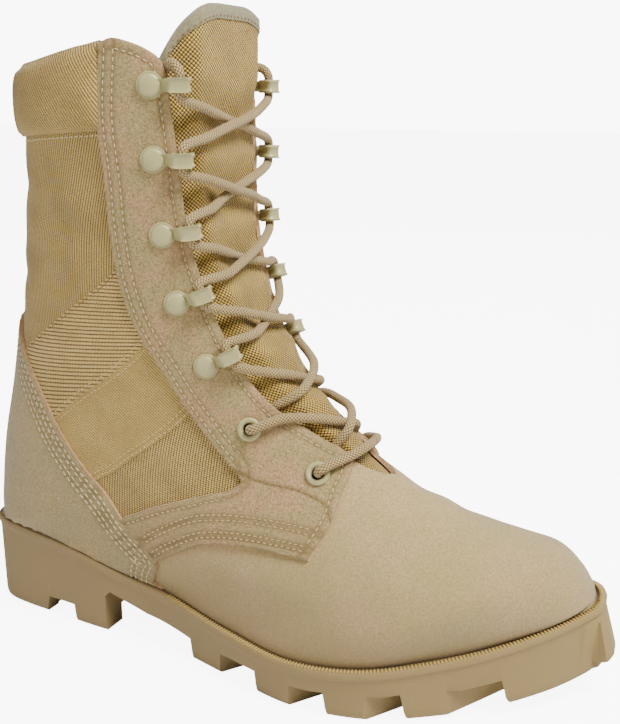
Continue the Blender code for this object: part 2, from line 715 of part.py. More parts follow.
def tongue(finish, group):
    """Woven tongue, under the throat's edges at its sides and proud of them in the middle."""
    across = np.array([-share for share in reversed(TONGUE_COLUMNS)] + list(TONGUE_COLUMNS))
    rows = 20
    lap = TONGUE_LAP * math.pi
    down = np.linspace(0.0, 1.0, rows)[:, None]
    start_turn = np.minimum(np.abs(across), 1) * THROAT[0][1] + np.maximum(np.abs(across) - 1, 0) * TONGUE_LAP
    start = curve(TONGUE_TOP, start_turn)[:, 0]
    position = start + down * (TONGUE_END - start)
    edge = np.maximum(throat_turn(position), 0.075 * math.pi)
    turn = -np.sign(across) * (np.minimum(np.abs(across), 1) * edge + np.maximum(np.abs(across) - 1, 0) * lap)
    height = tongue_height(position, np.broadcast_to(across, position.shape))
    outer = raised(position, turn, height).reshape(-1, 3)
    inner = raised(position, turn, height - TONGUE_THICK).reshape(-1, 3)
    vertices, skin = walled(outer, inner, grid_faces(*position.shape))
    return mesh_object("tongue", vertices, skin, finish, group)


def ladder(levels, finish, name, group):
    """Solid from rings round the sole, each a function of side giving points heel to toe."""
    rings = []
    for level in levels:
        outer = level(-1)
        inner = level(1)
        rings.append(np.vstack([outer, inner[1:-1][::-1]]))
    count = len(rings[0])
    half = len(levels[0](-1))
    faces = []
    for r in range(len(rings) - 1):
        for c in range(count):
            n = (c + 1) % count
            faces.append([r * count + c, r * count + n, (r + 1) * count + n, (r + 1) * count + c])
    for base, flip in ((0, False), ((len(rings) - 1) * count, True)):
        partner = [0] + [count - i for i in range(1, half - 1)] + [half - 1]
        for i in range(half - 1):
            a, b = base + i, base + i + 1
            c, d = base + partner[i + 1], base + partner[i]
            face = [v for k, v in enumerate((a, b, c, d)) if v not in (a, b, c, d)[:k]]
            faces.append(face[::-1] if flip else face)
    return mesh_object(name, np.vstack(rings), faces, finish, group)


def ring_level(inset, height):
    """Ring round the outline at an inset and a height function of x."""
    at = np.linspace(0.0, 1.0, SIDE_POINTS)

    def level(side):
        flat = outline(at, side, np.full(len(at), inset) if np.isscalar(inset) else inset(outline(at, side)[:, 0]))
        return np.column_stack([flat, height(flat[:, 0])])
    return level


def prism(name, bottom, top, group, finish):
    """Closed solid between two matching rings of points."""
    count = len(bottom)
    faces = [list(range(count))[::-1], [count + i for i in range(count)]]
    for i in range(count):
        n = (i + 1) % count
        faces.append([i, n, count + n, count + i])
    return mesh_object(name, list(bottom) + list(top), faces, finish, group)


def outsole(finish, group, cutters):
    """One moulded sole with welt step, heel, arch, toe spring and chevron lugs."""
    levels = (
        ring_level(0.0, seat),
        ring_level(0.0, lambda x: seat(x) - WELT_HEIGHT),
        ring_level(WELT_STEP, lambda x: seat(x) - WELT_HEIGHT - WELT_STEP),
        ring_level(WELT_STEP + SOLE_DRAFT, tread),
    )
    sole = ladder(levels, finish, "outsole", group)
    wide = BALL_WIDTH
    below = BELOW_FLOOR
    lean = CHANNEL_LEAN * wide
    for number, (back, front) in enumerate(CHANNELS):
        plan = []
        for x, sign in ((along(back), 1), (along(front), -1)):
            plan.append([(x - lean, -wide, sign), (x, 0.0, sign), (x - lean, wide, sign)])
        ring = plan[0] + plan[1][::-1]
        bottom = [(x, y, -below) for x, y, _ in ring]
        top = [(x + sign * CHANNEL_TAPER, y, float(tread(x)) + LUG_DEPTH) for x, y, sign in ring]
        cut = prism("channel_%d" % (number + 1), bottom, top, cutters, finish)
        boolean(sole, cutter(cut), "DIFFERENCE")
    notch_back, notch_front = along(HEEL_BLOCK_END), along(HEEL_NOTCH_END)
    slant = HEEL_SLANT
    notch = prism(
        "heel_notch",
        [(notch_back, -wide, -below), (notch_back, wide, -below),
         (notch_front, wide, -below), (notch_front, -wide, -below)],
        [(notch_back + slant, -wide, HEEL_LUG_DEPTH), (notch_back + slant, wide, HEEL_LUG_DEPTH),
         (notch_front - slant / 2, wide, HEEL_LUG_DEPTH), (notch_front - slant / 2, -wide, HEEL_LUG_DEPTH)],
        cutters, finish)
    boolean(sole, cutter(notch), "DIFFERENCE")
    half = HEEL_WIDTH / 2 - HEEL_LUG_WIDTH
    breast = along(HEEL_BREAST)
    middle = prism(
        "heel_middle",
        [(notch_back, -half, -below), (notch_back, half, -below),
         (breast + below, half, -below), (breast + below, -half, -below)],
        [(notch_back, -half, HEEL_LUG_DEPTH), (notch_back, half, HEEL_LUG_DEPTH),
         (breast + below, half, HEEL_LUG_DEPTH), (breast + below, -half, HEEL_LUG_DEPTH)],
        cutters, finish)
    boolean(sole, cutter(middle), "DIFFERENCE")
    arch_end = along(ARCH_END)
    profile = [
        (breast, -below), (breast, 0.86 * ARCH_RISE), (breast + BREAST_SLANT, ARCH_RISE),
        (breast + 0.45 * (arch_end - breast), 0.66 * ARCH_RISE),
        (arch_end - CHANNEL_TAPER, LUG_DEPTH), (arch_end, -below)]
    arch = prism("arch", [(x, -wide, z) for x, z in profile], [(x, wide, z) for x, z in profile], cutters, finish)
    boolean(sole, cutter(arch), "DIFFERENCE")
    return sole


def insole(finish, group):
    """Footbed on the sole, inside the upper."""
    def inset(x):
        return reveal(x) + WALL + INSOLE_CLEARANCE
    levels = (ring_level(inset, lambda x: seat(x) + GAP + INSOLE_THICK), ring_level(inset, lambda x: seat(x) + GAP))
    return ladder(levels, finish, "insole", group)


def frame_at(position, turn, height):
    """Placement on the upper: Z outwards, X towards the throat, Y up along it."""
    origin = raised(position, turn, height)
    outwards = Vector(raised(position, turn, height + 0.01) - origin).normalized()
    towards = Vector(surface(position, turn * 0.9) - surface(position, turn)).normalized()
    lift = outwards.cross(towards).normalized()
    towards = lift.cross(outwards).normalized()
    if lift.z < 0:
        lift = -lift
    placed = Matrix((towards, lift, outwards)).transposed().to_4x4()
    placed.translation = Vector(origin)
    return placed


def turned(name, profile, steps, finish, group):
    """Closed turned solid from a profile of (radius, height) points, top to bottom on the outside."""
    angles = [2 * math.pi * i / steps for i in range(steps)]
    vertices = []
    for radius, height in profile:
        vertices += [(radius * math.cos(a), radius * math.sin(a), height) for a in angles]
    rows = len(profile)
    faces = []
    for r in range(rows):
        for c in range(steps):
            n = (c + 1) % steps
            s = (r + 1) % rows
            faces.append([r * steps + c, r * steps + n, s * steps + n, s * steps + c])
    return mesh_object(name, vertices, faces, finish, group)


def rivet(name, finish, group):
    """Washer with a domed head."""
    profile = [
        (0.0, DOME_HEIGHT), (0.6 * DOME_RADIUS, 0.88 * DOME_HEIGHT), (DOME_RADIUS, 0.42 * DOME_HEIGHT),
        (WASHER_RADIUS, 0.28 * DOME_HEIGHT), (WASHER_RADIUS, 0.0), (0.0, 0.0)]
    return turned(name, profile, 8, finish, group)


def speedlace_mesh(finish, group, cutters):
    """One speed-lace loop: rivet, arm and the flat tunnel that the lace runs through."""
    body = rivet("speedlace_rivet", finish, group)
    half_long = (LOOP_REACH - LOOP_START) / 2
    centre_x = LOOP_START + half_long
    half_high = LOOP_HEIGHT / 2
    sides = 8
    rings = []
    stations = ((-0.5, LOOP_FLARE), (-0.34, 0.0), (0.34, 0.0), (0.5, LOOP_FLARE))
    for share, flare in stations:
        rings.append((share * LOOP_LENGTH, half_long + flare, half_high + flare))
    for share, flare in reversed(stations[::3]):
        rings.append((share * LOOP_LENGTH, half_long + flare - LOOP_METAL, half_high + flare - LOOP_METAL))
    vertices = []
    for y, long, high in rings:
        for i in range(sides):
            a = 2 * math.pi * i / sides
            x = math.copysign(abs(math.cos(a)) ** 0.7, math.cos(a)) * long
            z = math.copysign(abs(math.sin(a)) ** 0.7, math.sin(a)) * high
            vertices.append((centre_x + x, y, half_high + LOOP_LIFT + z))
    faces = []
    count = len(rings)
    for r in range(count):
        for c in range(sides):
            n = (c + 1) % sides
            s = (r + 1) % count
            faces.append([r * sides + c, r * sides + n, s * sides + n, s * sides + c])
    tunnel = cutter(mesh_object("speedlace_tunnel", vertices, faces, finish, cutters))
    half_arm = ARM_WIDTH / 2
    reach = centre_x - 0.2 * half_long
    plan = [(0.0, -half_arm), (reach, -half_arm), (reach, half_arm), (0.0, half_arm)]
    low = [(x, y, ARM_LIFT) for x, y in plan]
    high = [(x, y, ARM_LIFT + 1.3 * LOOP_METAL) for x, y in plan]
    arm = cutter(prism("speedlace_arm", low, high, cutters, finish))
    boolean(body, arm, "UNION")
    boolean(body, tunnel, "UNION")
    bpy.context.view_layer.update()
    made = bpy.data.meshes.new_from_object(body.evaluated_get(bpy.context.evaluated_depsgraph_get()))
    made.name = "speedlace"
    bpy.data.objects.remove(body, do_unlink=True)
    return made


def eyelet_mesh(finish):
    """Rolled ring with a barrel down through the suede and the wall."""
    barrel = EYELET_BORE + EYELET_METAL
    foot = -(SUEDE + OVERLAY_GAP + WALL)
    profile = [
        (EYELET_BORE, 0.60 * EYELET_RISE), (0.6 * EYELET_BORE + 0.4 * EYELET_RADIUS, EYELET_RISE),
        (0.9 * EYELET_RADIUS, 0.67 * EYELET_RISE), (EYELET_RADIUS, 0.13 * EYELET_RISE),
        (EYELET_RADIUS - EYELET_METAL, GAP / 3),
        (barrel, GAP / 3), (barrel, foot), (EYELET_BORE, foot)]
    made = turned("eyelet", profile, 8, finish, bpy.context.scene.collection)
    mesh = made.data
    bpy.data.objects.remove(made, do_unlink=True)
    return mesh


def place(name, mesh, matrix, group):
    obj = bpy.data.objects.new(name, mesh)
    obj.matrix_world = matrix
    group.objects.link(obj)
    return obj


def hardware(finish, group, cutters, leathers):
    """Five speed-lace loops and two ring eyelets down each side of the throat."""
    loop = speedlace_mesh(finish, group, cutters)
    ring = eyelet_mesh(finish)
    top = OVERLAY_GAP + GAP + SUEDE
    hole = EYELET_BORE + EYELET_METAL + 2 * GAP
    for side, word in ((-1, "lateral"), (1, "medial")):
        for number, (position, turn) in enumerate(RIVETS):
            place("speedlace_%s_%d" % (word, number + 1), loop, frame_at(position, -side * turn * math.pi, top), group)
        for number, (position, turn) in enumerate(EYELETS):
            matrix = frame_at(position, -side * turn * math.pi, top + GAP)
            place("eyelet_%s_%d" % (word, number + 1), ring, matrix, group)
            bpy.ops.mesh.primitive_cylinder_add(vertices=8, radius=hole, depth=DRILL_DEPTH)
            drill = bpy.context.object
            drill.name = "drill_%s_%d" % (word, number + 1)
            drill.matrix_world = matrix
            for owner in list(drill.users_collection):
                owner.objects.unlink(drill)
            cutters.objects.link(drill)
            cutter(drill)
            boolean(leathers["eyestay_" + word], drill, "DIFFERENCE")
            boolean(leathers["upper"], drill, "DIFFERENCE")


def tube(name, points, radius, finish, group):
    """Round cord through points, as a closed mesh."""
    shape = bpy.data.curves.new(name, "CURVE")
    shape.dimensions = "3D"
    shape.bevel_depth = radius
    shape.bevel_resolution = 2
    shape.use_fill_caps = True
    spline = shape.splines.new("POLY")
    spline.points.add(len(points) - 1)
    for knot, point in zip(spline.points, points):
        knot.co = (*map(float, point), 1.0)
    cord = bpy.data.objects.new(name, shape)
    group.objects.link(cord)
    bpy.context.view_layer.update()
    mesh = bpy.data.meshes.new_from_object(cord.evaluated_get(bpy.context.evaluated_depsgraph_get()))
    bpy.data.objects.remove(cord, do_unlink=True)
    work = bmesh.new()
    work.from_mesh(mesh)
    bmesh.ops.remove_doubles(work, verts=work.verts, dist=1e-6)
    bmesh.ops.recalc_face_normals(work, faces=work.faces)
    work.to_mesh(mesh)
    work.free()
    mesh.materials.clear()
    mesh.materials.append(finish)
    made = bpy.data.objects.new(name, mesh)
    group.objects.link(made)
    return made


def over_tongue(position, turn, lift):
    """Point of a cord lying on the tongue, or lifted off it."""
    pressed = tongue_press(position, turn * math.pi / throat_turn(position))
    height = TONGUE_BULGE + 4 * GAP + LACE_DIAMETER / 2 + lift - pressed
    return raised(position, turn * math.pi, height)


def from_throat(position, side):
    """Where a cord comes out from under the throat's edge, just clear of it."""
    turn = (float(curve(THROAT, position)[0]) - EDGE_CLEAR) * -side
    return position, turn, [over_tongue(position, turn, -0.2 * LACE_DIAMETER)]


def onto_eyelet(row, side):
    """Last points of a cord that comes over the eyestay's edge and down on a ring eyelet."""
    position, turn = EYELETS[row]
    placed = frame_at(position, -side * turn * math.pi, OVERLAY_GAP + GAP + SUEDE)
    rest = placed @ Vector((-0.2 * LACE_DIAMETER, 0.0, CORD_ON_RING + GAP + LACE_DIAMETER / 2))
    edge = (float(curve(THROAT, position)[0]) + EDGE_LAP) * -side
    over_edge = raised(position, edge * math.pi, OVERLAY_GAP + SUEDE + 4 * GAP + LACE_DIAMETER / 2)
    return position, edge, [np.array(rest), over_edge]


def into_loop(row, side, end):
    """Last points of a cord that turns into a loop's mouth."""
    position, turn = RIVETS[row]
    placed = frame_at(position, -side * turn * math.pi, OVERLAY_GAP + GAP + SUEDE)
    points = []
    middle = (LOOP_START + LOOP_REACH) / 2
    for reach in CORD_LEAD:
        local = Vector((middle, end * (LOOP_LENGTH / 2 + reach), LOOP_HEIGHT / 2 + LOOP_LIFT))
        points.append(np.array(placed @ local))
    edge = float(curve(THROAT, position)[0]) * -side
    return position - end * LOOP_LEAD, edge, points


def strand(start, end, lift):
    """Points from one side of the throat to the other, over the tongue."""
    points = list(start[2])
    for share in (0.2, 0.36, 0.5, 0.64, 0.8):
        position = start[0] + share * (end[0] - start[0])
        turn = start[1] + share * (end[1] - start[1])
        points.append(over_tongue(position, turn, lift * math.sin(math.pi * share) ** 2))
    return points + list(reversed(end[2]))


def lace(finish, group, cutters):
    """Crossings of the lace over the tongue, each two cords joined where they touch, and the bottom bar."""
    radius = LACE_DIAMETER / 2
    over = 0.75 * LACE_DIAMETER
    last = len(RIVETS) - 1
    crossings = []
    for row, on_top in enumerate(RUNS_ON_TOP):
        crossings.append([
            (into_loop(row + 1, side, 1), into_loop(row, -side, -1), side == -on_top) for side in (-1, 1)])
    second = EYELETS[0][0] - SECOND_LEAD
    crossings.append([(from_throat(second, side), into_loop(last, -side, -1), side == -1) for side in (-1, 1)])
    first = EYELETS[1][0] - FIRST_LEAD
    crossings.append([(from_throat(first, side), onto_eyelet(0, -side), side == -1) for side in (-1, 1)])
    for number, cords in enumerate(crossings):
        made = []
        for index, (start, end, on_top) in enumerate(cords):
            name = "lace_crossing_%d" % (number + 1) if index == 0 else "lace_partner_%d" % (number + 1)
            home = cutters if index else group
            made.append(tube(name, strand(start, end, over if on_top else 0.0), radius, finish, home))
        boolean(made[0], cutter(made[1]), "UNION")
    tube("lace_bar", strand(onto_eyelet(1, -1), onto_eyelet(1, 1), 0.0), radius, finish, group)


def build():
    clear_scene()
    group = collection("combat_boot")
    cutters = collection("cutters")
    finishes = {name: material(name) for name in COLOURS}
    outsole(finishes["sole"], group, cutters)
    insole(finishes["lining"], group)
    leathers = {"upper": upper(finishes["nylon"], group)}
    tongue(finishes["nylon"], group)
    heel_counter(finishes["suede"], group)
    collar_cuff(finishes["nylon"], group)
    for side, word in ((-1, "lateral"), (1, "medial")):
        name = "eyestay_" + word
        leathers[name] = eyestay(side, name, finishes["suede"], group)
    hardware(finishes["paint"], group, cutters, leathers)
    lace(finishes["lace"], group, cutters)


LASTING = lasting_pull()
build()
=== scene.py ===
# %% [markdown]
# # Dressing a desert combat boot
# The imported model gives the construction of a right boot: sole, hollow upper, tongue, overlays,
# hardware and lace, each a plain solid at its real size. This lesson makes their visible surfaces.
# Everything sits on one idea: a fan of cross sections that turns from the collar round to the toe.
# A point of the upper is then a fan position and an angle, so seams, weave, stitches and hardware
# are all placed on the same surface.

# %% Load the frame
import math

import bmesh
import bpy
import numpy as np
from mathutils import Matrix, Vector
from mathutils.bvhtree import BVHTree
from mathutils.kdtree import KDTree


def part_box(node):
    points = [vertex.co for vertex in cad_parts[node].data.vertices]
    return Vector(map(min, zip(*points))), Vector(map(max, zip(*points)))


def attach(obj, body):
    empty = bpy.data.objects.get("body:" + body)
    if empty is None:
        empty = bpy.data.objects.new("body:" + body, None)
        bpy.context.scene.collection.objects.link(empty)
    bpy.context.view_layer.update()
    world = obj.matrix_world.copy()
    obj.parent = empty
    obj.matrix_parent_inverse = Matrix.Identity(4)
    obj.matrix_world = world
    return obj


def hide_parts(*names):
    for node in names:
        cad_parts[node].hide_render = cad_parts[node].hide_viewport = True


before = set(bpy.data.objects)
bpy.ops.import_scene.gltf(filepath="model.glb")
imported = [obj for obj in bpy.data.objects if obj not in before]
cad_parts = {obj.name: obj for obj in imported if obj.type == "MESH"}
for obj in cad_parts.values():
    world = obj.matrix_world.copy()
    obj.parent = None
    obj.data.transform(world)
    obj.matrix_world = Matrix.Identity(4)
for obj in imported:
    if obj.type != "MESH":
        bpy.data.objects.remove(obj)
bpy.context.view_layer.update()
print("frame nodes:", len(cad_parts))

# %% [markdown]
# ## Sizes
# The sole's length and its place come from the frame. The other sizes are those of the real boot,
# in metres, and the tables below hold shares of them.

# %% Driving sizes
sole_low, sole_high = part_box("outsole")
LENGTH = sole_high.x - sole_low.x
HEEL_BACK = -sole_low.x
BALL_WIDTH = 0.109
HEEL_WIDTH = 0.072
HEEL_HEIGHT = 0.045
SOLE_HEIGHT = 0.0205
TOE_SPRING = 0.0135
SHAFT_RISE = 0.240
SHAFT_WIDTH = 0.090
INSTEP_RISE = 0.075
WALL = 0.0020
GAP = 0.0003
OVERLAY_GAP = 0.0006
SUEDE = 0.0016
HEEL_REVEAL = 0.0035
FOREFOOT_REVEAL = 0.0048
LASTING_FADE = 0.030
LACE_RADIUS = 0.0021
SIDES = ((-1, "lateral"), (1, "medial"))
print("sole length %.3f m, heel back at %.4f m" % (LENGTH, -HEEL_BACK))

# %% [markdown]
# ## Camera, floor and light
# The camera stands where the photographer stood: in front of the boot's outer side and a little
# above it. A white floor that runs up into a white world gives the pale studio, one large lamp on
# the toe side models the forms, and a weaker one lifts the shaft.

# %% Camera
CAMERA_PLACE = Vector((0.3418, -0.4139, 0.2524))
CAMERA_TARGET = Vector((0.1514, 0.0, 0.1362))
camera = bpy.data.objects.new("camera", bpy.data.cameras.new("camera"))
camera.data.lens = 52.2
camera.data.clip_start = 0.01
camera.location = CAMERA_PLACE
camera.rotation_euler = (CAMERA_TARGET - CAMERA_PLACE).to_track_quat("-Z", "Y").to_euler()
bpy.context.scene.collection.objects.link(camera)
bpy.context.scene.camera = camera


# %% Nodes in few words
DEEPER = 1.42


def tone(swatch):
    """Linear colour of a hexadecimal swatch, made deeper because the film response pales it."""
    parts = [int(swatch[i:i + 2], 16) / 255 for i in (0, 2, 4)]
    linear = np.array([p / 12.92 if p <= 0.04045 else ((p + 0.055) / 1.055) ** 2.4 for p in parts])
    grey = linear.dot((0.2126, 0.7152, 0.0722))
    return [*np.clip(grey + DEEPER * (linear - grey), 0.0, 1.0).tolist(), 1.0]


def filled(tree, node, settings, inputs):
    """The node with its settings, and its inputs linked or set."""
    for key, value in (settings or {}).items():
        setattr(node, key, value)
    for key, value in (inputs or {}).items():
        if isinstance(value, bpy.types.NodeSocket):
            tree.links.new(value, node.inputs[key])
        else:
            node.inputs[key].default_value = value
    return node


def add(tree, kind, settings=None, inputs=None):
    return filled(tree, tree.nodes.new("ShaderNode" + kind), settings, inputs)


def calc(tree, operation, first, second=0.0, clamp=False):
    made = add(tree, "Math", {"operation": operation, "use_clamp": clamp}, {0: first, 1: second})
    return made.outputs[0]


def times(tree, first, second, clamp=False):
    return calc(tree, "MULTIPLY", first, second, clamp)


def plus(tree, first, second, clamp=False):
    return calc(tree, "ADD", first, second, clamp)


def ranged(tree, value, low, high):
    """Value's share of the way from low to high, kept within 0 and 1."""
    return add(tree, "MapRange", None, {"Value": value, "From Min": low, "From Max": high}).outputs[0]


def noise(tree, place, scale, **plain):
    inputs = {"Vector": place, "Scale": scale}
    inputs.update({key.capitalize(): value for key, value in plain.items()})
    return add(tree, "TexNoise", None, inputs).outputs[0]


def mix(tree, factor, first, second):
    """Colour between two colours."""
    made = add(tree, "Mix", {"data_type": "RGBA"}, {0: factor, 6: first, 7: second})
    return made.outputs[2]


def new_material(name, **plain):
    """Material with its Principled shader's plain values set."""
    made = bpy.data.materials.new(name)
    made.use_nodes = True
    shader = made.node_tree.nodes["Principled BSDF"]
    for key, value in plain.items():
        shader.inputs[key.replace("_", " ")].default_value = value
    return made, made.node_tree, shader


def new_group(name, inputs, outputs):
    """Shader node group with named inputs and outputs; vector inputs have no value."""
    tree = bpy.data.node_groups.new(name, "ShaderNodeTree")
    for label, value in inputs.items():
        kind = "NodeSocketVector" if value is None else "NodeSocketFloat"
        socket = tree.interface.new_socket(label, in_out="INPUT", socket_type=kind)
        if value is not None:
            socket.default_value = value
    for label in outputs:
        tree.interface.new_socket(label, in_out="OUTPUT", socket_type="NodeSocketFloat")
    return tree, tree.nodes.new("NodeGroupInput").outputs, tree.nodes.new("NodeGroupOutput").inputs


def use_group(tree, group, inputs):
    return add(tree, "Group", {"node_tree": group}, inputs).outputs


def bumped(tree, shader, height, depth, strength=1.0):
    bump = add(tree, "Bump", None, {"Strength": strength, "Distance": depth, "Height": height})
    tree.links.new(bump.outputs[0], shader.inputs["Normal"])


# %% Floor, world and lamps
def area_lamp(name, place, size, power, colour=(1.0, 1.0, 1.0)):
    lamp = bpy.data.objects.new(name, bpy.data.lights.new(name, "AREA"))
    lamp.data.size = size
    lamp.data.energy = power
    lamp.data.color = colour
    lamp.location = place
    lamp.rotation_euler = (CAMERA_TARGET - Vector(place)).to_track_quat("-Z", "Y").to_euler()
    bpy.context.scene.collection.objects.link(lamp)


STUDIO_WHITE = 9.0
STUDIO_LIGHT = 0.27
FLOOR_WHITE = 7.5


def seen_brighter(tree, seen, lit):
    """Strength that is one value to the camera and another to everything it lights."""
    path = add(tree, "LightPath")
    return add(tree, "Mix", None, {0: path.outputs["Is Camera Ray"], 2: lit, 3: seen}).outputs[0]


world = bpy.data.worlds.new("studio")
world.use_nodes = True
background = world.node_tree.nodes["Background"]
background.inputs["Color"].default_value = (1.0, 1.0, 1.0, 1.0)
strength = seen_brighter(world.node_tree, STUDIO_WHITE, STUDIO_LIGHT)
world.node_tree.links.new(strength, background.inputs["Strength"])
bpy.context.scene.world = world
area_lamp("key", (0.85, -0.20, 1.20), 0.50, 33)
area_lamp("fill", (-0.5, -1.2, 0.7), 0.9, 7)
area_lamp("back", (-0.4, 1.1, 1.0), 1.0, 8)

bpy.ops.mesh.primitive_plane_add(size=14.0, location=(0, 0, -0.0002))
floor = bpy.context.object
floor.name = "floor"
floor_material, floor_tree, floor_shader = new_material(
    "white floor", Base_Color=(0.9, 0.9, 0.9, 1.0), Roughness=0.7)
floor_shader.inputs["Emission Color"].default_value = (1.0, 1.0, 1.0, 1.0)
floor_tree.links.new(seen_brighter(floor_tree, FLOOR_WHITE, 0.0), floor_shader.inputs["Emission Strength"])
floor.data.materials.append(floor_material)

# %% [markdown]
# ## The surface of the last
# A boot is pulled over a last, so its surface is smooth from the shaft to the toe. The front line
# and the back line are two short tables, and each section between them is a rounded oval with its
# own half widths. Below the ankle the sections tilt until they stand across the toe. Where a
# section meets the sole it is drawn in or out to the outline, as lasting does.

# %% Tables of the last
# The seat: share of the length, height of the sole's top.
SEAT = (
    (0.000, 1.000 * HEEL_HEIGHT),
    (0.104, 0.947 * HEEL_HEIGHT),
    (0.215, 0.836 * HEEL_HEIGHT),
    (0.333, 0.653 * HEEL_HEIGHT),
    (0.464, 0.507 * HEEL_HEIGHT),
    (0.595, 1.000 * SOLE_HEIGHT),
    (0.710, 1.083 * SOLE_HEIGHT),
    (0.825, 1.029 * SOLE_HEIGHT + 0.50 * TOE_SPRING),
    (0.923, 1.029 * SOLE_HEIGHT + 1.07 * TOE_SPRING),
    (1.000, 1.029 * SOLE_HEIGHT + 1.64 * TOE_SPRING),
)
# The outline: place along it, share of the length, outer and inner half widths.
OUTLINE = (
    (0.00, 0.000, 0.000 * HEEL_WIDTH, 0.000 * HEEL_WIDTH),
    (0.06, 0.003, -0.153 * HEEL_WIDTH, 0.153 * HEEL_WIDTH),
    (0.12, 0.013, -0.300 * HEEL_WIDTH, 0.306 * HEEL_WIDTH),
    (0.18, 0.034, -0.378 * HEEL_WIDTH, 0.389 * HEEL_WIDTH),
    (0.24, 0.070, -0.425 * HEEL_WIDTH, 0.442 * HEEL_WIDTH),
    (0.31, 0.152, -0.472 * HEEL_WIDTH, 0.493 * HEEL_WIDTH),
    (0.38, 0.251, -0.518 * HEEL_WIDTH, 0.507 * HEEL_WIDTH),
    (0.46, 0.362, -0.345 * BALL_WIDTH, 0.317 * BALL_WIDTH),
    (0.54, 0.493, -0.450 * BALL_WIDTH, 0.358 * BALL_WIDTH),
    (0.61, 0.608, -0.539 * BALL_WIDTH, 0.422 * BALL_WIDTH),
    (0.68, 0.713, -0.517 * BALL_WIDTH, 0.459 * BALL_WIDTH),
    (0.75, 0.802, -0.409 * BALL_WIDTH, 0.468 * BALL_WIDTH),
    (0.81, 0.880, -0.286 * BALL_WIDTH, 0.440 * BALL_WIDTH),
    (0.87, 0.946, -0.141 * BALL_WIDTH, 0.372 * BALL_WIDTH),
    (0.92, 0.979, -0.039 * BALL_WIDTH, 0.289 * BALL_WIDTH),
    (0.96, 0.995, 0.028 * BALL_WIDTH, 0.188 * BALL_WIDTH),
    (1.00, 1.000, 0.083 * BALL_WIDTH, 0.083 * BALL_WIDTH),
)
# The front and back lines: fan position, share of the length, height above the seat there.
RIDGE = (
    (0.000, 0.457, 1.125 * SHAFT_RISE),
    (0.100, 0.456, 0.995 * SHAFT_RISE),
    (0.200, 0.454, 0.854 * SHAFT_RISE),
    (0.300, 0.457, 0.717 * SHAFT_RISE),
    (0.380, 0.484, 0.603 * SHAFT_RISE),
    (0.460, 0.533, 0.496 * SHAFT_RISE),
    (0.540, 0.589, 1.260 * INSTEP_RISE),
    (0.620, 0.661, 1.000 * INSTEP_RISE),
    (0.700, 0.743, 0.775 * INSTEP_RISE),
    (0.770, 0.818, 0.608 * INSTEP_RISE),
    (0.830, 0.884, 0.485 * INSTEP_RISE),
    (0.880, 0.930, 0.380 * INSTEP_RISE),
    (0.920, 0.958, 0.245 * INSTEP_RISE),
    (0.955, 0.976, 0.113 * INSTEP_RISE),
    (0.980, 0.984, 0.012 * INSTEP_RISE),
    (1.000, 0.984, -0.128 * INSTEP_RISE),
)
BACK = (
    (0.000, 0.116, 1.045 * SHAFT_RISE),
    (0.100, 0.113, 0.915 * SHAFT_RISE),
    (0.200, 0.110, 0.773 * SHAFT_RISE),
    (0.300, 0.094, 0.596 * SHAFT_RISE),
    (0.380, 0.075, 0.435 * SHAFT_RISE),
    (0.440, 0.052, 0.300 * SHAFT_RISE),
    (0.490, 0.025, 0.164 * SHAFT_RISE),
    (0.530, 0.014, 0.063 * SHAFT_RISE),
    (0.560, 0.011, -0.020 * HEEL_HEIGHT),
    (0.590, 0.022, -0.547 * HEEL_HEIGHT),
    (0.630, 0.103, -0.836 * HEEL_HEIGHT),
    (0.680, 0.267, -0.756 * HEEL_HEIGHT),
    (0.730, 0.448, -0.609 * HEEL_HEIGHT),
    (0.780, 0.595, -0.544 * HEEL_HEIGHT),
    (0.840, 0.733, -0.511 * HEEL_HEIGHT),
    (0.900, 0.815, -0.338 * HEEL_HEIGHT),
    (0.950, 0.844, -0.204 * HEEL_HEIGHT),
    (1.000, 0.841, -0.109 * HEEL_HEIGHT),
)
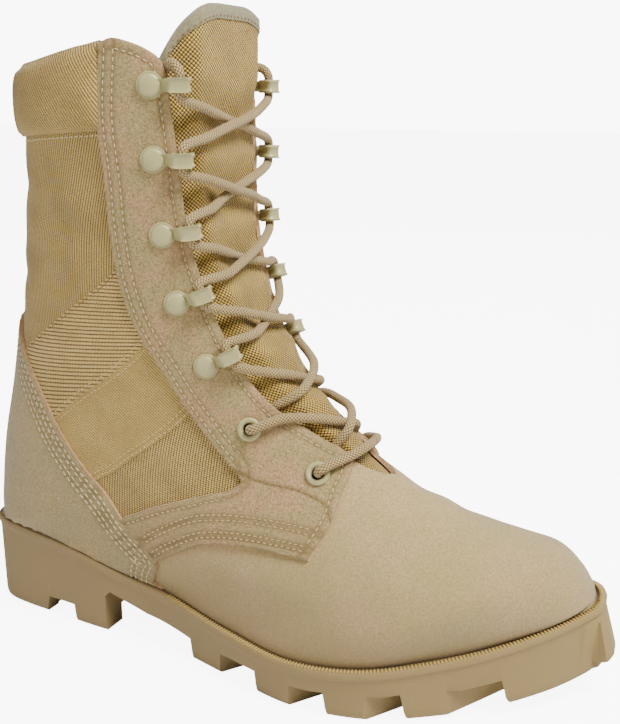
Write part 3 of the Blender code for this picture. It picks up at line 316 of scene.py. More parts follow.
# The sections: fan position, where each is widest, outer and inner half widths, roundness of its
# front and back parts, and its shift to the inner side.
SECTIONS = (
    (0.000, 0.50, 0.500 * SHAFT_WIDTH, 0.500 * SHAFT_WIDTH, 2.40, 2.3, 0.0),
    (0.200, 0.50, 0.500 * SHAFT_WIDTH, 0.500 * SHAFT_WIDTH, 2.40, 2.3, 0.0),
    (0.300, 0.50, 0.478 * SHAFT_WIDTH, 0.478 * SHAFT_WIDTH, 2.40, 2.3, 0.0),
    (0.400, 0.52, 0.444 * SHAFT_WIDTH, 0.444 * SHAFT_WIDTH, 2.30, 2.4, 0.0),
    (0.500, 0.55, 0.515 * HEEL_WIDTH, 0.500 * HEEL_WIDTH, 2.20, 2.6, 0.0),
    (0.560, 0.52, 0.505 * HEEL_WIDTH, 0.497 * HEEL_WIDTH, 2.10, 2.9, 0.0),
    (0.630, 0.45, 0.362 * BALL_WIDTH, 0.330 * BALL_WIDTH, 2.05, 2.7, 0.0),
    (0.670, 0.44, 0.399 * BALL_WIDTH, 0.326 * BALL_WIDTH, 2.00, 2.7, 0.0),
    (0.710, 0.42, 0.454 * BALL_WIDTH, 0.362 * BALL_WIDTH, 2.00, 2.8, 0.0),
    (0.770, 0.50, 0.495 * BALL_WIDTH, 0.408 * BALL_WIDTH, 2.00, 2.9, 0.0),
    (0.830, 0.55, 0.450 * BALL_WIDTH, 0.427 * BALL_WIDTH, 2.00, 2.7, 0.009 * BALL_WIDTH),
    (0.880, 0.60, 0.358 * BALL_WIDTH, 0.399 * BALL_WIDTH, 2.00, 2.6, 0.037 * BALL_WIDTH),
    (0.920, 0.60, 0.312 * BALL_WIDTH, 0.349 * BALL_WIDTH, 2.05, 2.4, 0.064 * BALL_WIDTH),
    (0.955, 0.60, 0.257 * BALL_WIDTH, 0.298 * BALL_WIDTH, 2.10, 2.3, 0.083 * BALL_WIDTH),
    (0.980, 0.65, 0.202 * BALL_WIDTH, 0.280 * BALL_WIDTH, 2.20, 2.3, 0.083 * BALL_WIDTH),
    (1.000, 0.65, 0.183 * BALL_WIDTH, 0.275 * BALL_WIDTH, 2.20, 2.3, 0.083 * BALL_WIDTH),
)


# %% Curves through tables
def curve(table, position):
    """Smooth curve through a table's rows, read at positions of its first column."""
    rows = np.asarray(table, float)
    knots = rows[:, 0]
    values = rows[:, 1:]
    step = np.diff(knots)[:, None]
    slope = np.diff(values, axis=0) / step
    tangent = np.empty_like(values)
    tangent[1:-1] = (slope[:-1] * step[1:] + slope[1:] * step[:-1]) / (step[:-1] + step[1:])
    tangent[0] = slope[0]
    tangent[-1] = slope[-1]
    at = np.clip(np.asarray(position, float), knots[0], knots[-1])
    row = np.clip(np.searchsorted(knots, at, side="right") - 1, 0, len(knots) - 2)
    span = (knots[row + 1] - knots[row])[..., None]
    f = (at - knots[row])[..., None] / span
    start = (1 + 2 * f) * (1 - f) ** 2 * values[row] + f * (1 - f) ** 2 * span * tangent[row]
    end = f * f * (3 - 2 * f) * values[row + 1] + f * f * (f - 1) * span * tangent[row + 1]
    return start + end


def ease(value):
    """Smooth step from 0 to 1."""
    share = np.clip(value, 0.0, 1.0)
    return share * share * (3 - 2 * share)


def along(share):
    return np.asarray(share, float) * LENGTH - HEEL_BACK


def share_of(x):
    return (np.asarray(x, float) + HEEL_BACK) / LENGTH


def seat(x):
    """Height of the sole's top."""
    return curve(SEAT, share_of(x))[..., 0]


def tread(x):
    """Height of the tread, with its toe spring."""
    ahead = np.clip((share_of(x) - 0.710) / (1.0 - 0.710), 0.0, None)
    return TOE_SPRING * ahead ** 2


def outline(position, side, inset=0.0):
    """Point of the sole's outline on one side (-1 outer, 1 inner), moved inwards by inset."""
    def point(at):
        rows = curve(OUTLINE, at)
        return np.stack([along(rows[..., 0]), rows[..., 1 if side < 0 else 2]], -1)
    at = np.asarray(position, float)
    step = 0.002
    run = point(np.clip(at + step, 0, 1)) - point(np.clip(at - step, 0, 1))
    run /= np.linalg.norm(run, axis=-1)[..., None]
    inward = np.stack([-run[..., 1], run[..., 0]], -1) * (1 if side < 0 else -1)
    inward[at <= 0] = (1, 0)
    inward[at >= 1] = (-1, 0)
    return point(at) + inward * np.reshape(inset, (-1, 1))


def reveal(x):
    """Width of sole that shows beside the upper."""
    share = np.clip((share_of(x) - 0.26) / 0.24, 0, 1)
    return HEEL_REVEAL + (FOREFOOT_REVEAL - HEEL_REVEAL) * share


# %% The fan of sections
def fan(position, turn):
    """Point of the fan; turn runs from the front line, positive on the outer side."""
    position, turn = np.broadcast_arrays(np.asarray(position, float), np.asarray(turn, float))
    front = curve(RIDGE, position)
    back = curve(BACK, position)
    section = curve(SECTIONS, position)
    front_x = along(front[..., 0])
    back_x = along(back[..., 0])
    front_z = seat(front_x) + front[..., 1]
    back_z = seat(back_x) + back[..., 1]
    widest, outer, inner, round_front, round_back, shift = np.moveaxis(section, -1, 0)
    cos = np.cos(turn)
    sin = np.sin(turn)
    power = 2.0 / np.where(cos >= 0, round_front, round_back)
    reach = np.abs(cos) ** power * np.where(cos >= 0, widest, 1 - widest) * np.sign(cos)
    share = widest - reach
    side = np.abs(sin) ** power * np.where(sin >= 0, -outer, inner)
    x = front_x + share * (back_x - front_x)
    z = front_z + share * (back_z - front_z)
    return np.stack([x, shift + side, z], -1)


def lasting_pull():
    """How far each section is drawn in or out so that it meets the sole at the reveal."""
    positions = np.linspace(0.5, 1.0, 201)
    turns = np.linspace(0.0, math.pi, 361)
    at = np.linspace(0.0, 1.0, 801)
    pull = np.zeros((2, len(positions), 2))
    for index, side in enumerate((-1, 1)):
        bare = outline(at, side)
        edge = outline(at, side, reveal(bare[:, 0]))
        for row, position in enumerate(positions):
            section = fan(position, -side * turns)
            height = section[:, 2] - seat(section[:, 0])
            crossing = np.where((height[:-1] > 0) & (height[1:] <= 0))[0]
            if len(crossing):
                low = crossing[-1]
                share = height[low] / (height[low] - height[low + 1])
                foot = section[low, :2] * (1 - share) + section[low + 1, :2] * share
                nearest = np.argmin(np.linalg.norm(edge - foot, axis=1))
                pull[index, row] = edge[nearest] - foot
    return positions, pull


LASTING = lasting_pull()


def surface(position, turn):
    """Outer surface of the upper, met to the sole's outline."""
    point = fan(position, turn)
    positions, pull = LASTING
    at = np.broadcast_to(np.asarray(position, float), point.shape[:-1])
    outer = ease(0.5 + 2 * np.sin(np.broadcast_to(np.asarray(turn, float), point.shape[:-1])))
    fade = ease(1 - (point[..., 2] - seat(point[..., 0])) / LASTING_FADE)
    for axis in (0, 1):
        shift = outer * np.interp(at, positions, pull[0, :, axis])
        shift = shift + (1 - outer) * np.interp(at, positions, pull[1, :, axis])
        point[..., axis] += shift * fade
    return point


def surface_frame(position, turn):
    """Points of the surface and its outward normals."""
    step = 1e-3
    position = np.asarray(position, float)
    turn = np.asarray(turn, float)
    across = surface(position, turn + step) - surface(position, turn - step)
    down = surface(np.clip(position + step, 0, 1), turn) - surface(np.clip(position - step, 0, 1), turn)
    normal = np.cross(across, down)
    normal /= np.linalg.norm(normal, axis=-1)[..., None]
    return surface(position, turn), normal


def raised(position, turn, height):
    """Points that stand off the surface by height."""
    point, normal = surface_frame(position, turn)
    return point + normal * np.reshape(height, np.shape(height) + (1,))


# %% Cloth coordinates: metres across and along the surface
FAN_MARKS = np.linspace(0.0, 1.0, 101)
TURN_MARKS = np.linspace(0.0, math.pi, 91)
marked = surface(FAN_MARKS[:, None], TURN_MARKS[None, :])
ACROSS = np.cumsum(np.linalg.norm(np.diff(marked, axis=1, prepend=marked[:, :1]), axis=2), axis=1)
ALONG = np.cumsum(np.linalg.norm(np.diff(marked[:, 30], axis=0, prepend=marked[:1, 30]), axis=1))


def cloth_place(flat):
    """Metres across from the front line and along from the top, for pattern points."""
    turn = np.abs(flat[:, 1])
    past_back = turn > math.pi
    row = np.clip(flat[:, 0] * 100, 0, 99.999)
    column = np.clip(np.where(past_back, 2 * math.pi - turn, turn) / math.pi * 90, 0, 89.999)
    r = row.astype(int)
    c = column.astype(int)
    fr = row - r
    fc = column - c
    low = ACROSS[r, c] * (1 - fc) + ACROSS[r, c + 1] * fc
    high = ACROSS[r + 1, c] * (1 - fc) + ACROSS[r + 1, c + 1] * fc
    across = low * (1 - fr) + high * fr
    half_round = ACROSS[r, -1] * (1 - fr) + ACROSS[r + 1, -1] * fr
    across = np.where(past_back, 2 * half_round - across, across) * np.sign(flat[:, 1])
    return np.stack([across, np.interp(flat[:, 0], FAN_MARKS, ALONG)], -1)


print("surface ready: %.3f m from collar to toe along the side" % ALONG[-1])

# %% [markdown]
# ## Pattern lines
# The edges of the leather pieces are drawn flat, as a pattern cutter would: each row is a fan
# position and an angle as a share of a half turn. Only the outer side is written, and the inner
# side mirrors it, because the picture shows the outer side alone.

# %% Pattern tables
# Fan position and share of a half turn, in every line but two.
THROAT = (
    (0.000, 0.283),
    (0.106, 0.277),
    (0.170, 0.260),
    (0.255, 0.239),
    (0.364, 0.219),
    (0.468, 0.197),
    (0.514, 0.166),
    (0.550, 0.128),
    (0.590, 0.090),
    (0.625, 0.060),
)
THROAT_END = 0.655
EYESTAY_REAR = (
    (0.066, 0.457),
    (0.175, 0.463),
    (0.229, 0.452),
    (0.298, 0.444),
    (0.353, 0.433),
    (0.409, 0.403),
    (0.455, 0.364),
    (0.515, 0.325),
    (0.570, 0.309),
)
EYESTAY_TOP = ((0.066, 0.457), (0.060, 0.425), (0.064, 0.387), (0.074, 0.335), (0.088, 0.295), (0.106, 0.277))
BAND_FRONT = ((0.589, 0.088), (0.604, 0.083), (0.619, 0.111), (0.639, 0.177), (0.669, 0.267), (0.690, 0.370))
BAND_LOWER = ((0.667, 0.397), (0.649, 0.423), (0.632, 0.469), (0.631, 0.510), (0.634, 0.538))
BAND_UPPER = ((0.583, 0.510), (0.582, 0.470), (0.583, 0.430), (0.585, 0.383), (0.588, 0.330))
COUNTER_EDGE = (
    (0.372, 1.000),
    (0.382, 0.860),
    (0.413, 0.735),
    (0.456, 0.621),
    (0.476, 0.582),
    (0.544, 0.515),
    (0.584, 0.508),
    (0.633, 0.535),
    (0.653, 0.596),
    (0.700, 0.680),
)
STRAP_TOP = ((0.326, 0.430), (0.334, 0.450), (0.362, 0.522), (0.386, 0.615), (0.412, 0.742), (0.440, 0.860))
STRAP_SEAM = ((0.405, 0.380), (0.423, 0.421), (0.448, 0.491), (0.477, 0.590), (0.500, 0.700))
STRAP_FOOT = ((0.480, 0.300), (0.497, 0.339), (0.520, 0.418), (0.534, 0.477), (0.545, 0.512), (0.570, 0.620))
BAND_SEAM = ((0.570, 0.309), (0.593, 0.281), (0.619, 0.246), (0.645, 0.235), (0.664, 0.257))
# The collar: share of a half turn, fan positions of the cuff's top and foot.
COLLAR = (
    (0.450, 0.067, 0.172),
    (0.540, 0.080, 0.176),
    (0.650, 0.091, 0.180),
    (0.800, 0.096, 0.184),
    (1.000, 0.097, 0.186),
)
# The tongue's top: share of a half turn, fan position.
TONGUE_TOP = ((0.00, 0.014), (0.10, 0.016), (0.18, 0.028), (0.24, 0.049), (0.29, 0.078), (0.34, 0.115))
TONGUE_END = 0.700
TONGUE_LAP = 0.050
TONGUE_BULGE = 0.0014
TONGUE_GAP = 0.0008
TONGUE_THICK = 0.0030
TONGUE_PRESS = 0.0100
PRESS_END = 0.620
PRESS_LENGTH = 0.240
PRESS_POWER = 1.8
# The rivets and ring eyelets in fan position and share, and each loop's tilt in degrees.
RIVETS = ((0.118, 0.325), (0.205, 0.320), (0.296, 0.307), (0.374, 0.302), (0.449, 0.277))
LOOP_TILT = (0, 0, 4, 12, 15)
EYELETS = ((0.529, 0.240), (0.608, 0.187))
EYELET_HOLE = 0.0036


def throat_turn(position):
    return curve(THROAT, position)[..., 0]


def dense(line, count=60):
    """Points of a smooth pattern line, evenly spread over its first column."""
    knots = np.asarray(line)[:, 0]
    at = np.linspace(knots[0], knots[-1], count)
    return [(float(a), float(b)) for a, b in zip(at, curve(line, at)[:, 0])]


def distance_along(path, power=1.0):
    """Distance of each point along its path; a power below 1 evens out unequal steps."""
    return np.concatenate([[0], np.cumsum(np.linalg.norm(np.diff(path, axis=0), axis=1) ** power)])


def smooth_line(line, count=80):
    """Points along a pattern line of any shape, as a smooth curve over its own length."""
    rows = np.array(line, float)
    run = distance_along(rows * (1.0, 0.8))
    table = np.column_stack([run, rows])
    return [tuple(row) for row in curve(table, np.linspace(0, run[-1], count))]


# %% [markdown]
# ## Cutting and wrapping
# A piece starts as a fine flat grid. Each edge is a function that is positive inside the piece, and
# the grid is cut where it passes zero. The flat piece is then wrapped at two heights, which gives
# the face and the flesh side, and the rim between them is the raw edge.

# %% Flat pieces
FAN_STEP = 0.0050
TURN_STEP = math.pi / 110
EDGE_SNAP = 1e-4
TROUGH = 0.00030
# Painted shade on the rims of suede pieces.
RIM_SHADE = 0.7


def inside_outline(corners):
    """Edge function of a closed pattern outline: positive inside."""
    rim = np.array([(p, t * math.pi) for p, t in corners])
    ends = np.roll(rim, -1, axis=0)
    scale = np.array([1.0, 0.25])

    def edge(position, turn):
        value = np.empty(len(position))
        for start in range(0, len(position), 4000):
            part = slice(start, start + 4000)
            points = np.stack([position[part], turn[part]], -1)[:, None, :]
            run = (ends - rim) * scale
            local = (points - rim) * scale
            share = np.clip((local * run).sum(-1) / np.maximum((run ** 2).sum(-1), 1e-12), 0, 1)
            distance = np.linalg.norm(local - share[..., None] * run, axis=-1).min(1)
            p, t = points[:, :, 0], points[:, :, 1]
            spans = (rim[:, 0] > p) != (ends[:, 0] > p)
            rise = np.where(ends[:, 0] == rim[:, 0], 1.0, ends[:, 0] - rim[:, 0])
            cross = rim[:, 1] + (p - rim[:, 0]) / rise * (ends[:, 1] - rim[:, 1])
            odd = (spans & (t < cross)).sum(1) % 2 == 1
            value[part] = np.where(odd, distance, -distance)
        return value
    return edge


def flat_piece(fan_range, turn_range, edges, fan_step=FAN_STEP, turn_step=TURN_STEP):
    """Flat points, faces and the points on the last edge of a cut grid."""
    positions = np.linspace(*fan_range, max(3, round((fan_range[1] - fan_range[0]) / fan_step) + 1))
    turns = np.linspace(*turn_range, max(3, round((turn_range[1] - turn_range[0]) / turn_step) + 1))
    sheet = bmesh.new()
    grid = [[sheet.verts.new((p, t, 0.0)) for t in turns] for p in positions]
    for upper_row, lower_row in zip(grid, grid[1:]):
        for a, b, c, d in zip(upper_row, upper_row[1:], lower_row[1:], lower_row):
            sheet.faces.new((a, b, c, d))
    on_last = []
    for edge in edges:
        flat = np.array([v.co[:2] for v in sheet.verts])
        for vert, value in zip(sheet.verts, edge(flat[:, 0], flat[:, 1])):
            vert.co.z = value
        bmesh.ops.triangulate(sheet, faces=[f for f in sheet.faces if min(v.co.z for v in f.verts) < 0.01])
        whole = sheet.verts[:] + sheet.edges[:] + sheet.faces[:]
        bmesh.ops.bisect_plane(
            sheet, geom=whole, dist=EDGE_SNAP, plane_co=(0, 0, 0), plane_no=(0, 0, 1), clear_inner=True)
        on_last = [v for v in sheet.verts if abs(v.co.z) < 1.01 * EDGE_SNAP]
        for vert in sheet.verts:
            vert.co.z = 0.0
    sheet.verts.index_update()
    flat = np.array([v.co[:2] for v in sheet.verts])
    faces = [[v.index for v in face.verts] for face in sheet.faces]
    last = [v.index for v in on_last if v.is_valid]
    sheet.free()
    return flat, faces, last


def above_seat(position, turn):
    point = surface(position, turn)
    return point[:, 2] - seat(point[:, 0]) - GAP


def clear_of_eyelets(side):
    """Edge function that opens the holes of the ring eyelets."""
    centres = np.array([surface(p, -side * t * math.pi) for p, t in EYELETS])

    def edge(position, turn):
        point = surface(position, turn)
        reach = np.linalg.norm(point[:, None, :] - centres[None], axis=2).min(1)
        return reach - EYELET_HOLE
    return edge


def mesh_piece(name, vertices, faces, materials, marks=None, places=None):
    """Object of one mesh with material marks for its faces and cloth places for its corners."""
    mesh = bpy.data.meshes.new(name)
    mesh.from_pydata(np.asarray(vertices, float).tolist(), [], faces)
    for material in materials:
        mesh.materials.append(material)
    if marks is not None:
        mesh.polygons.foreach_set("material_index", np.asarray(marks, np.int32))
    if places is not None:
        layer = mesh.uv_layers.new(name="UVMap")
        layer.data.foreach_set("uv", np.asarray(places, np.float32).ravel())
    mesh.shade_smooth()
    mesh.set_sharp_from_angle(angle=math.radians(50))
    obj = bpy.data.objects.new(name, mesh)
    bpy.context.scene.collection.objects.link(obj)
    return obj


def tidy_solid(obj):
    """Turns a closed mesh's faces outwards."""
    work = bmesh.new()
    work.from_mesh(obj.data)
    bmesh.ops.recalc_face_normals(work, faces=work.faces)
    work.to_mesh(obj.data)
    work.free()


def rim_edges(faces):
    edges = set()
    for face in faces:
        edges.update(zip(face, face[1:] + face[:1]))
    return [(a, b) for a, b in edges if (b, a) not in edges]


def ring_faces(rings, steps, closed=True):
    """Faces between rings of so many steps; closed joins the last ring to the first."""
    faces = []
    for r in range(rings if closed else rings - 1):
        s = (r + 1) % rings
        for c in range(steps):
            n = (c + 1) % steps
            faces.append([r * steps + c, r * steps + n, s * steps + n, s * steps + c])
    return faces


def roll_faces(rows, columns):
    """Faces of a roll: a closed loop of rows that are open at both ends, with its ends capped."""
    faces = []
    for r in range(rows):
        s = (r + 1) % rows
        for c in range(columns - 1):
            faces.append([r * columns + c, r * columns + c + 1, s * columns + c + 1, s * columns + c])
    faces.append([r * columns for r in range(rows)])
    faces.append([r * columns + columns - 1 for r in reversed(range(rows))])
    return faces


def two_layers(faces, rim, count):
    """Faces of a layer of count points, of the layer behind it, and of the rim between them."""
    skin = [list(f) for f in faces]
    skin += [[count + v for v in reversed(f)] for f in faces]
    return skin + [[b, a, count + a, count + b] for a, b in rim]


def applied(obj):
    """Makes the piece's modifiers part of its mesh."""
    bpy.context.view_layer.update()
    shape = bpy.data.meshes.new_from_object(obj.evaluated_get(bpy.context.evaluated_depsgraph_get()))
    obj.modifiers.clear()
    obj.data = shape
    return shape


def welded(flat, faces):
    """Faces with the two ends of a whole turn joined."""
    level = [round(float(position), 4) for position in flat[:, 0]]
    seam = {level[i]: int(i) for i in np.where(flat[:, 1] > math.pi - 1e-5)[0]}
    partner = {int(i): seam.get(level[i], int(i)) for i in np.where(flat[:, 1] < 1e-5 - math.pi)[0]}
    return [[partner.get(v, v) for v in face] for face in faces]


def wrapped(name, piece, face_height, flesh_height, materials, edge_drop=0.0, relief=None, folds=()):
    """Solid piece wrapped on the boot; materials are its face, flesh side and raw edge.

    Its relief gives heights added to the face, and where these are below zero, and on the rim,
    the piece carries painted shade, which its finish darkens. Its folds are lines of soft troughs,
    each with a depth and a width, between two low ridges.
    """
    flat, loose, on_seat = piece
    faces = welded(flat, loose)
    point, normal = surface_frame(flat[:, 0], flat[:, 1])
    height = np.full(len(flat), face_height)
    # Painted shade: the darkening of the stitch troughs and, below, of the rim, stored for the finish.
    seam = np.zeros(2 * len(flat))
    if relief is not None:
        lift = relief(point)
        height = height + lift
        seam[:len(flat)] = np.clip(-lift / TROUGH, 0, 1)
    for line, depth, width in folds:
        for side in (-1, 1):
            near = near_line(point, line_points(smooth_line(line), side))
            ridge = 0.5 * np.exp(-((near - 1.8 * width) / width) ** 2)
            height = height - depth * (np.exp(-(near / width) ** 2) - ridge)
    rim = rim_edges(faces)
    on_rim = list({v for edge in rim for v in edge})
    height[on_rim] -= edge_drop
    # Painted shade along the rim.
    if relief is not None:
        seam[on_rim] = RIM_SHADE
    face = point + normal * height[:, None]
    flesh = point + normal * flesh_height
    for layer in (face, flesh):
        layer[on_seat, 2] = seat(layer[on_seat, 0]) + GAP
    skin = two_layers(faces, rim, len(flat))
    marks = [0] * len(faces) + [1] * len(faces) + [2] * len(rim)
    place = cloth_place(flat)
    corners = [place[v] for f in loose for v in f]
    corners += [place[v] for f in loose for v in reversed(f)]
    corners += [place[v] for a, b in rim for v in (b, a, a, b)]
    made = mesh_piece(name, np.vstack([face, flesh]), skin, materials, marks, corners)
    made.data.attributes.new("Seam", "FLOAT", "POINT").data.foreach_set("value", seam.astype(np.float32))
    return made


def line_points(line, side, height=0.0):
    """Points in space of a pattern line on one side of the boot."""
    rows = np.array(line)
    return raised(rows[:, 0], -side * math.pi * rows[:, 1], np.full(len(rows), height))


def near_line(points, line):
    """Distance of each point from a line in space."""
    tree = KDTree(len(line))
    for index, place in enumerate(line):
        tree.insert(place, index)
    tree.balance()
    return np.array([tree.find(p)[2] for p in points])


def dressed(obj, slot, *nodes):
    """The piece rides with the boot and stands for its nodes, which it hides; its slot is not used."""
    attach(obj, "root")
    if nodes:
        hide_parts(*nodes)
    return obj


# %% [markdown]
# ## Finishes
# Suede is brushed leather: matt, warm, with cloudy patches where the nap lies another way and fine
# fibres that catch the light. The woven parts are thick nylon yarns. A weave is worked out from the
# cloth coordinates, so that its yarns keep their real width of a millimetre or so everywhere.

# %% Groups for nap, weave and ribs
def nap_group():
    inputs = {"Place": None, "Patch size": 0.02}
    tree, given, out = new_group("Suede nap", inputs, ("Patches", "Nap", "Height"))
    scale = calc(tree, "DIVIDE", 1.0, given["Patch size"])
    cloud = noise(tree, given["Place"], scale, detail=3.0, roughness=0.6)
    fibre = noise(tree, given["Place"], 1500.0, detail=2.0)
    brushed = noise(tree, given["Place"], 1000.0, detail=2.0, roughness=0.5)
    nap = plus(tree, times(tree, fibre, 0.5), times(tree, brushed, 0.5))
    tree.links.new(ranged(tree, cloud, 0.43, 0.62), out["Patches"])
    tree.links.new(ranged(tree, nap, 0.36, 0.64), out["Nap"])
    tree.links.new(nap, out["Height"])
    return tree


def turned_place(tree, given):
    """Cloth place turned by the weave's angle and counted in yarns."""
    turned = add(tree, "VectorRotate", {"rotation_type": "Z_AXIS"},
                 {"Vector": given["Place"], "Angle": given["Angle"]})
    inverse = calc(tree, "DIVIDE", 1.0, given["Pitch"])
    counted = add(tree, "VectorMath", {"operation": "SCALE"}, {0: turned.outputs[0], "Scale": inverse})
    split = add(tree, "SeparateXYZ", None, {0: counted.outputs[0]})
    return split.outputs[0], split.outputs[1]


def yarn_curve(tree, value):
    """Round top of a yarn from its counted place: 1 in the middle and 0 at its sides."""
    local = calc(tree, "SUBTRACT", calc(tree, "FRACT", value), 0.5)
    return calc(tree, "SUBTRACT", 1.0, times(tree, times(tree, local, local), 4.0))


def yarn_group(name, pitch):
    """Group that turns a cloth place into the height and crest of its yarns."""
    return new_group(name, {"Place": None, "Pitch": pitch, "Angle": 0.0}, ("Height", "Crest"))


def weave_group():
    tree, given, out = yarn_group("Plain weave", 0.0015)
    x, y = turned_place(tree, given)
    parity = calc(tree, "FLOORED_MODULO", plus(tree, calc(tree, "FLOOR", x), calc(tree, "FLOOR", y)), 2.0)
    across = yarn_curve(tree, x)
    up = yarn_curve(tree, y)
    warp, weft = (
        times(tree, calc(tree, "POWER", one, 0.5), plus(tree, 0.45, times(tree, other, 0.55)))
        for one, other in ((across, up), (up, across)))
    height = add(tree, "Mix", None, {0: parity, 2: warp, 3: weft}).outputs[0]
    tree.links.new(height, out["Height"])
    tree.links.new(ranged(tree, height, 0.42, 0.84), out["Crest"])
    return tree


def rib_group():
    tree, given, out = yarn_group("Ribbed cloth", 0.0010)
    x, y = turned_place(tree, given)
    shifted = plus(tree, y, times(tree, calc(tree, "FLOOR", x), 0.5))
    knot = plus(tree, 0.72, times(tree, yarn_curve(tree, shifted), 0.28))
    height = times(tree, calc(tree, "POWER", yarn_curve(tree, x), 0.6), knot)
    tree.links.new(height, out["Height"])
    tree.links.new(ranged(tree, height, 0.30, 0.92), out["Crest"])
    return tree


NAP = nap_group()
WEAVE = weave_group()
RIBS = rib_group()


# %% Suede, cloth and lining
# Painted shade: suede darkens towards the floor between these two heights.
LOW_SHADE_TOP = 0.080
LOW_SHADE_FOOT = 0.030
# Share of painted shade in the stitch troughs and on the rims.
SEAM_SHADE = 0.70


def suede(name, light, dark, patch, patch_size=0.022, sheen=0.35, grain=0.75, low_shade=0.0):
    """Brushed leather, with painted shade in its stitch troughs and on its rims and, by a given share,
    towards the floor.
    """
    made, tree, shader = new_material(
        name, Roughness=0.95, Sheen_Weight=sheen, Sheen_Roughness=0.5, Specular_IOR_Level=0.2)
    place = add(tree, "TexCoord").outputs["Object"]
    nap = use_group(tree, NAP, {"Place": place, "Patch size": patch_size})
    body = mix(tree, nap["Patches"], tone(light), tone(patch))
    fibres = mix(tree, times(tree, calc(tree, "SUBTRACT", 1.0, nap["Nap"]), grain), body, tone(dark))
    # Painted shade in the stitch troughs and on the rims, stored per vertex by each piece.
    seam = add(tree, "Attribute", {"attribute_name": "Seam"}).outputs["Fac"]
    height = add(tree, "SeparateXYZ", None, {0: place}).outputs[2]
    # Painted shade towards the floor, by the given share.
    low = ranged(tree, height, LOW_SHADE_TOP, LOW_SHADE_FOOT)
    shaded = plus(tree, times(tree, seam, SEAM_SHADE), times(tree, low, low_shade), True)
    tree.links.new(mix(tree, shaded, fibres, tone(dark)), shader.inputs["Base Color"])
    bumped(tree, shader, nap["Height"], 0.0005, 0.5)
    return made


def cloth(name, group, pitch, angle, crest, gap_shade, depth):
    """Woven cloth with its yarn pitch, the angle of its yarns and the depth between them; its gap colour is
    painted shade between the yarns.
    """
    made, tree, shader = new_material(name, Roughness=0.7, Sheen_Weight=0.15, Specular_IOR_Level=0.35)
    place = add(tree, "UVMap", {"uv_map": "UVMap"}).outputs[0]
    yarn = use_group(tree, group, {"Place": place, "Pitch": pitch, "Angle": angle})
    cloud = noise(tree, place, 60.0, detail=3.0)
    fine = noise(tree, place, 900.0, detail=1.0)
    shade = times(tree, yarn["Crest"], plus(tree, 0.55, times(tree, fine, 0.9)), True)
    # Painted shade: the yarns darken towards the gap colour between them.
    yarns = mix(tree, shade, tone(gap_shade), tone(crest))
    worn = times(tree, ranged(tree, cloud, 0.4, 0.7), 0.25)
    tree.links.new(mix(tree, worn, yarns, tone(gap_shade)), shader.inputs["Base Color"])
    bumped(tree, shader, yarn["Height"], depth, 0.9)
    return made


# The last value of the first three suedes is their painted shade towards the floor.
SUEDE_UPPER = suede("eyestay suede", "a99b7b", "6d5e45", "b69b80", 0.018, grain=0.80, low_shade=0.50)
SUEDE_VAMP = suede("vamp suede", "b3a480", "817158", "bda789", 0.030, grain=0.65, low_shade=0.58)
SUEDE_COUNTER = suede("counter suede", "a4977a", "6f6047", "ac9a7b", 0.030, grain=0.7, low_shade=0.15)
RAW_EDGE = suede("raw suede edge", "c2a78c", "927558", "c8ac94", 0.004)
# The second colour of each cloth is painted shade between its yarns.
SHAFT_CLOTH = cloth("shaft nylon", RIBS, 0.00125, math.radians(14), "bda679", "533f22", 0.0005)
STRAP_CLOTH = cloth("strap nylon", RIBS, 0.00165, math.radians(96), "ceb688", "513b1c", 0.0008)
STRAP_LOWER_CLOTH = cloth("lower strap nylon", RIBS, 0.00120, math.radians(-28), "c6ae7e", "5e4828", 0.0005)
QUARTER_CLOTH = cloth("quarter weave", WEAVE, 0.00112, math.radians(40), "d2ba88", "4c3920", 0.0007)
CUFF_CLOTH = cloth("cuff nylon", RIBS, 0.00120, math.radians(-32), "bda577", "533f22", 0.0005)
TONGUE_CLOTH = cloth("tongue weave", WEAVE, 0.00130, math.radians(40), "d4b87e", "3a2812", 0.0009)
LINING = suede("grey green lining", "85826c", "615f4f", "8f8a72", 0.010, 0.2)
BINDING = suede("tongue binding", "8f8a74", "6a6452", "999179", 0.008, 0.3)

# %% [markdown]
# ## Upper: shaft, quarters and vamp
# The real upper is sewn from a nylon shaft, a heavier woven quarter and a suede vamp. Each is cut
# here as its own piece, and their joins lie under the strap and the band, where the real ones do.

# %% Shaft, quarter and vamp
opening = [(THROAT_END, 0.0), (0.645, 0.040)]
opening += [(p, t + 0.010) for p, t in reversed(dense(THROAT))]
opening.append((-0.05, 0.293))
throat_opening = inside_outline(opening + [(p, -t) for p, t in reversed(opening[1:])])
# The shaft's foot: share of a half turn, fan position.
SHAFT_FOOT = ((0.00, 0.400), (0.30, 0.400), (0.421, 0.423), (0.491, 0.448), (0.590, 0.477),
              (0.75, 0.500), (1.00, 0.500))
VAMP_TOP = 0.612
# Folds: a line of pattern places, its depth and its width.
SHAFT_FOLDS = (
    (((0.225, 0.860), (0.262, 0.700), (0.280, 0.560)), 0.0007, 0.0060),
    (((0.335, 0.960), (0.330, 0.850), (0.342, 0.760)), 0.0006, 0.0050),
)
VAMP_FOLDS = (
    (((0.688, 0.060), (0.706, 0.200), (0.716, 0.330)), 0.0006, 0.0065),
    (((0.742, 0.020), (0.750, 0.130), (0.748, 0.250)), 0.0004, 0.0060),
)


def outside_throat(position, turn):
    return -throat_opening(position, turn)


def below_collar(position, turn):
    share = np.abs(turn) / math.pi
    rear = curve(COLLAR, share)[:, 0]
    front = curve([(t, p) for p, t in reversed(EYESTAY_TOP)], share)[:, 0]
    return position - np.where(share > COLLAR[0][0], rear, front) - 0.004


def shaft_foot(position, turn):
    return curve(SHAFT_FOOT, np.abs(turn) / math.pi)[:, 0] - position


def both_eyelets(position, turn):
    return np.minimum(clear_of_eyelets(-1)(position, turn), clear_of_eyelets(1)(position, turn))


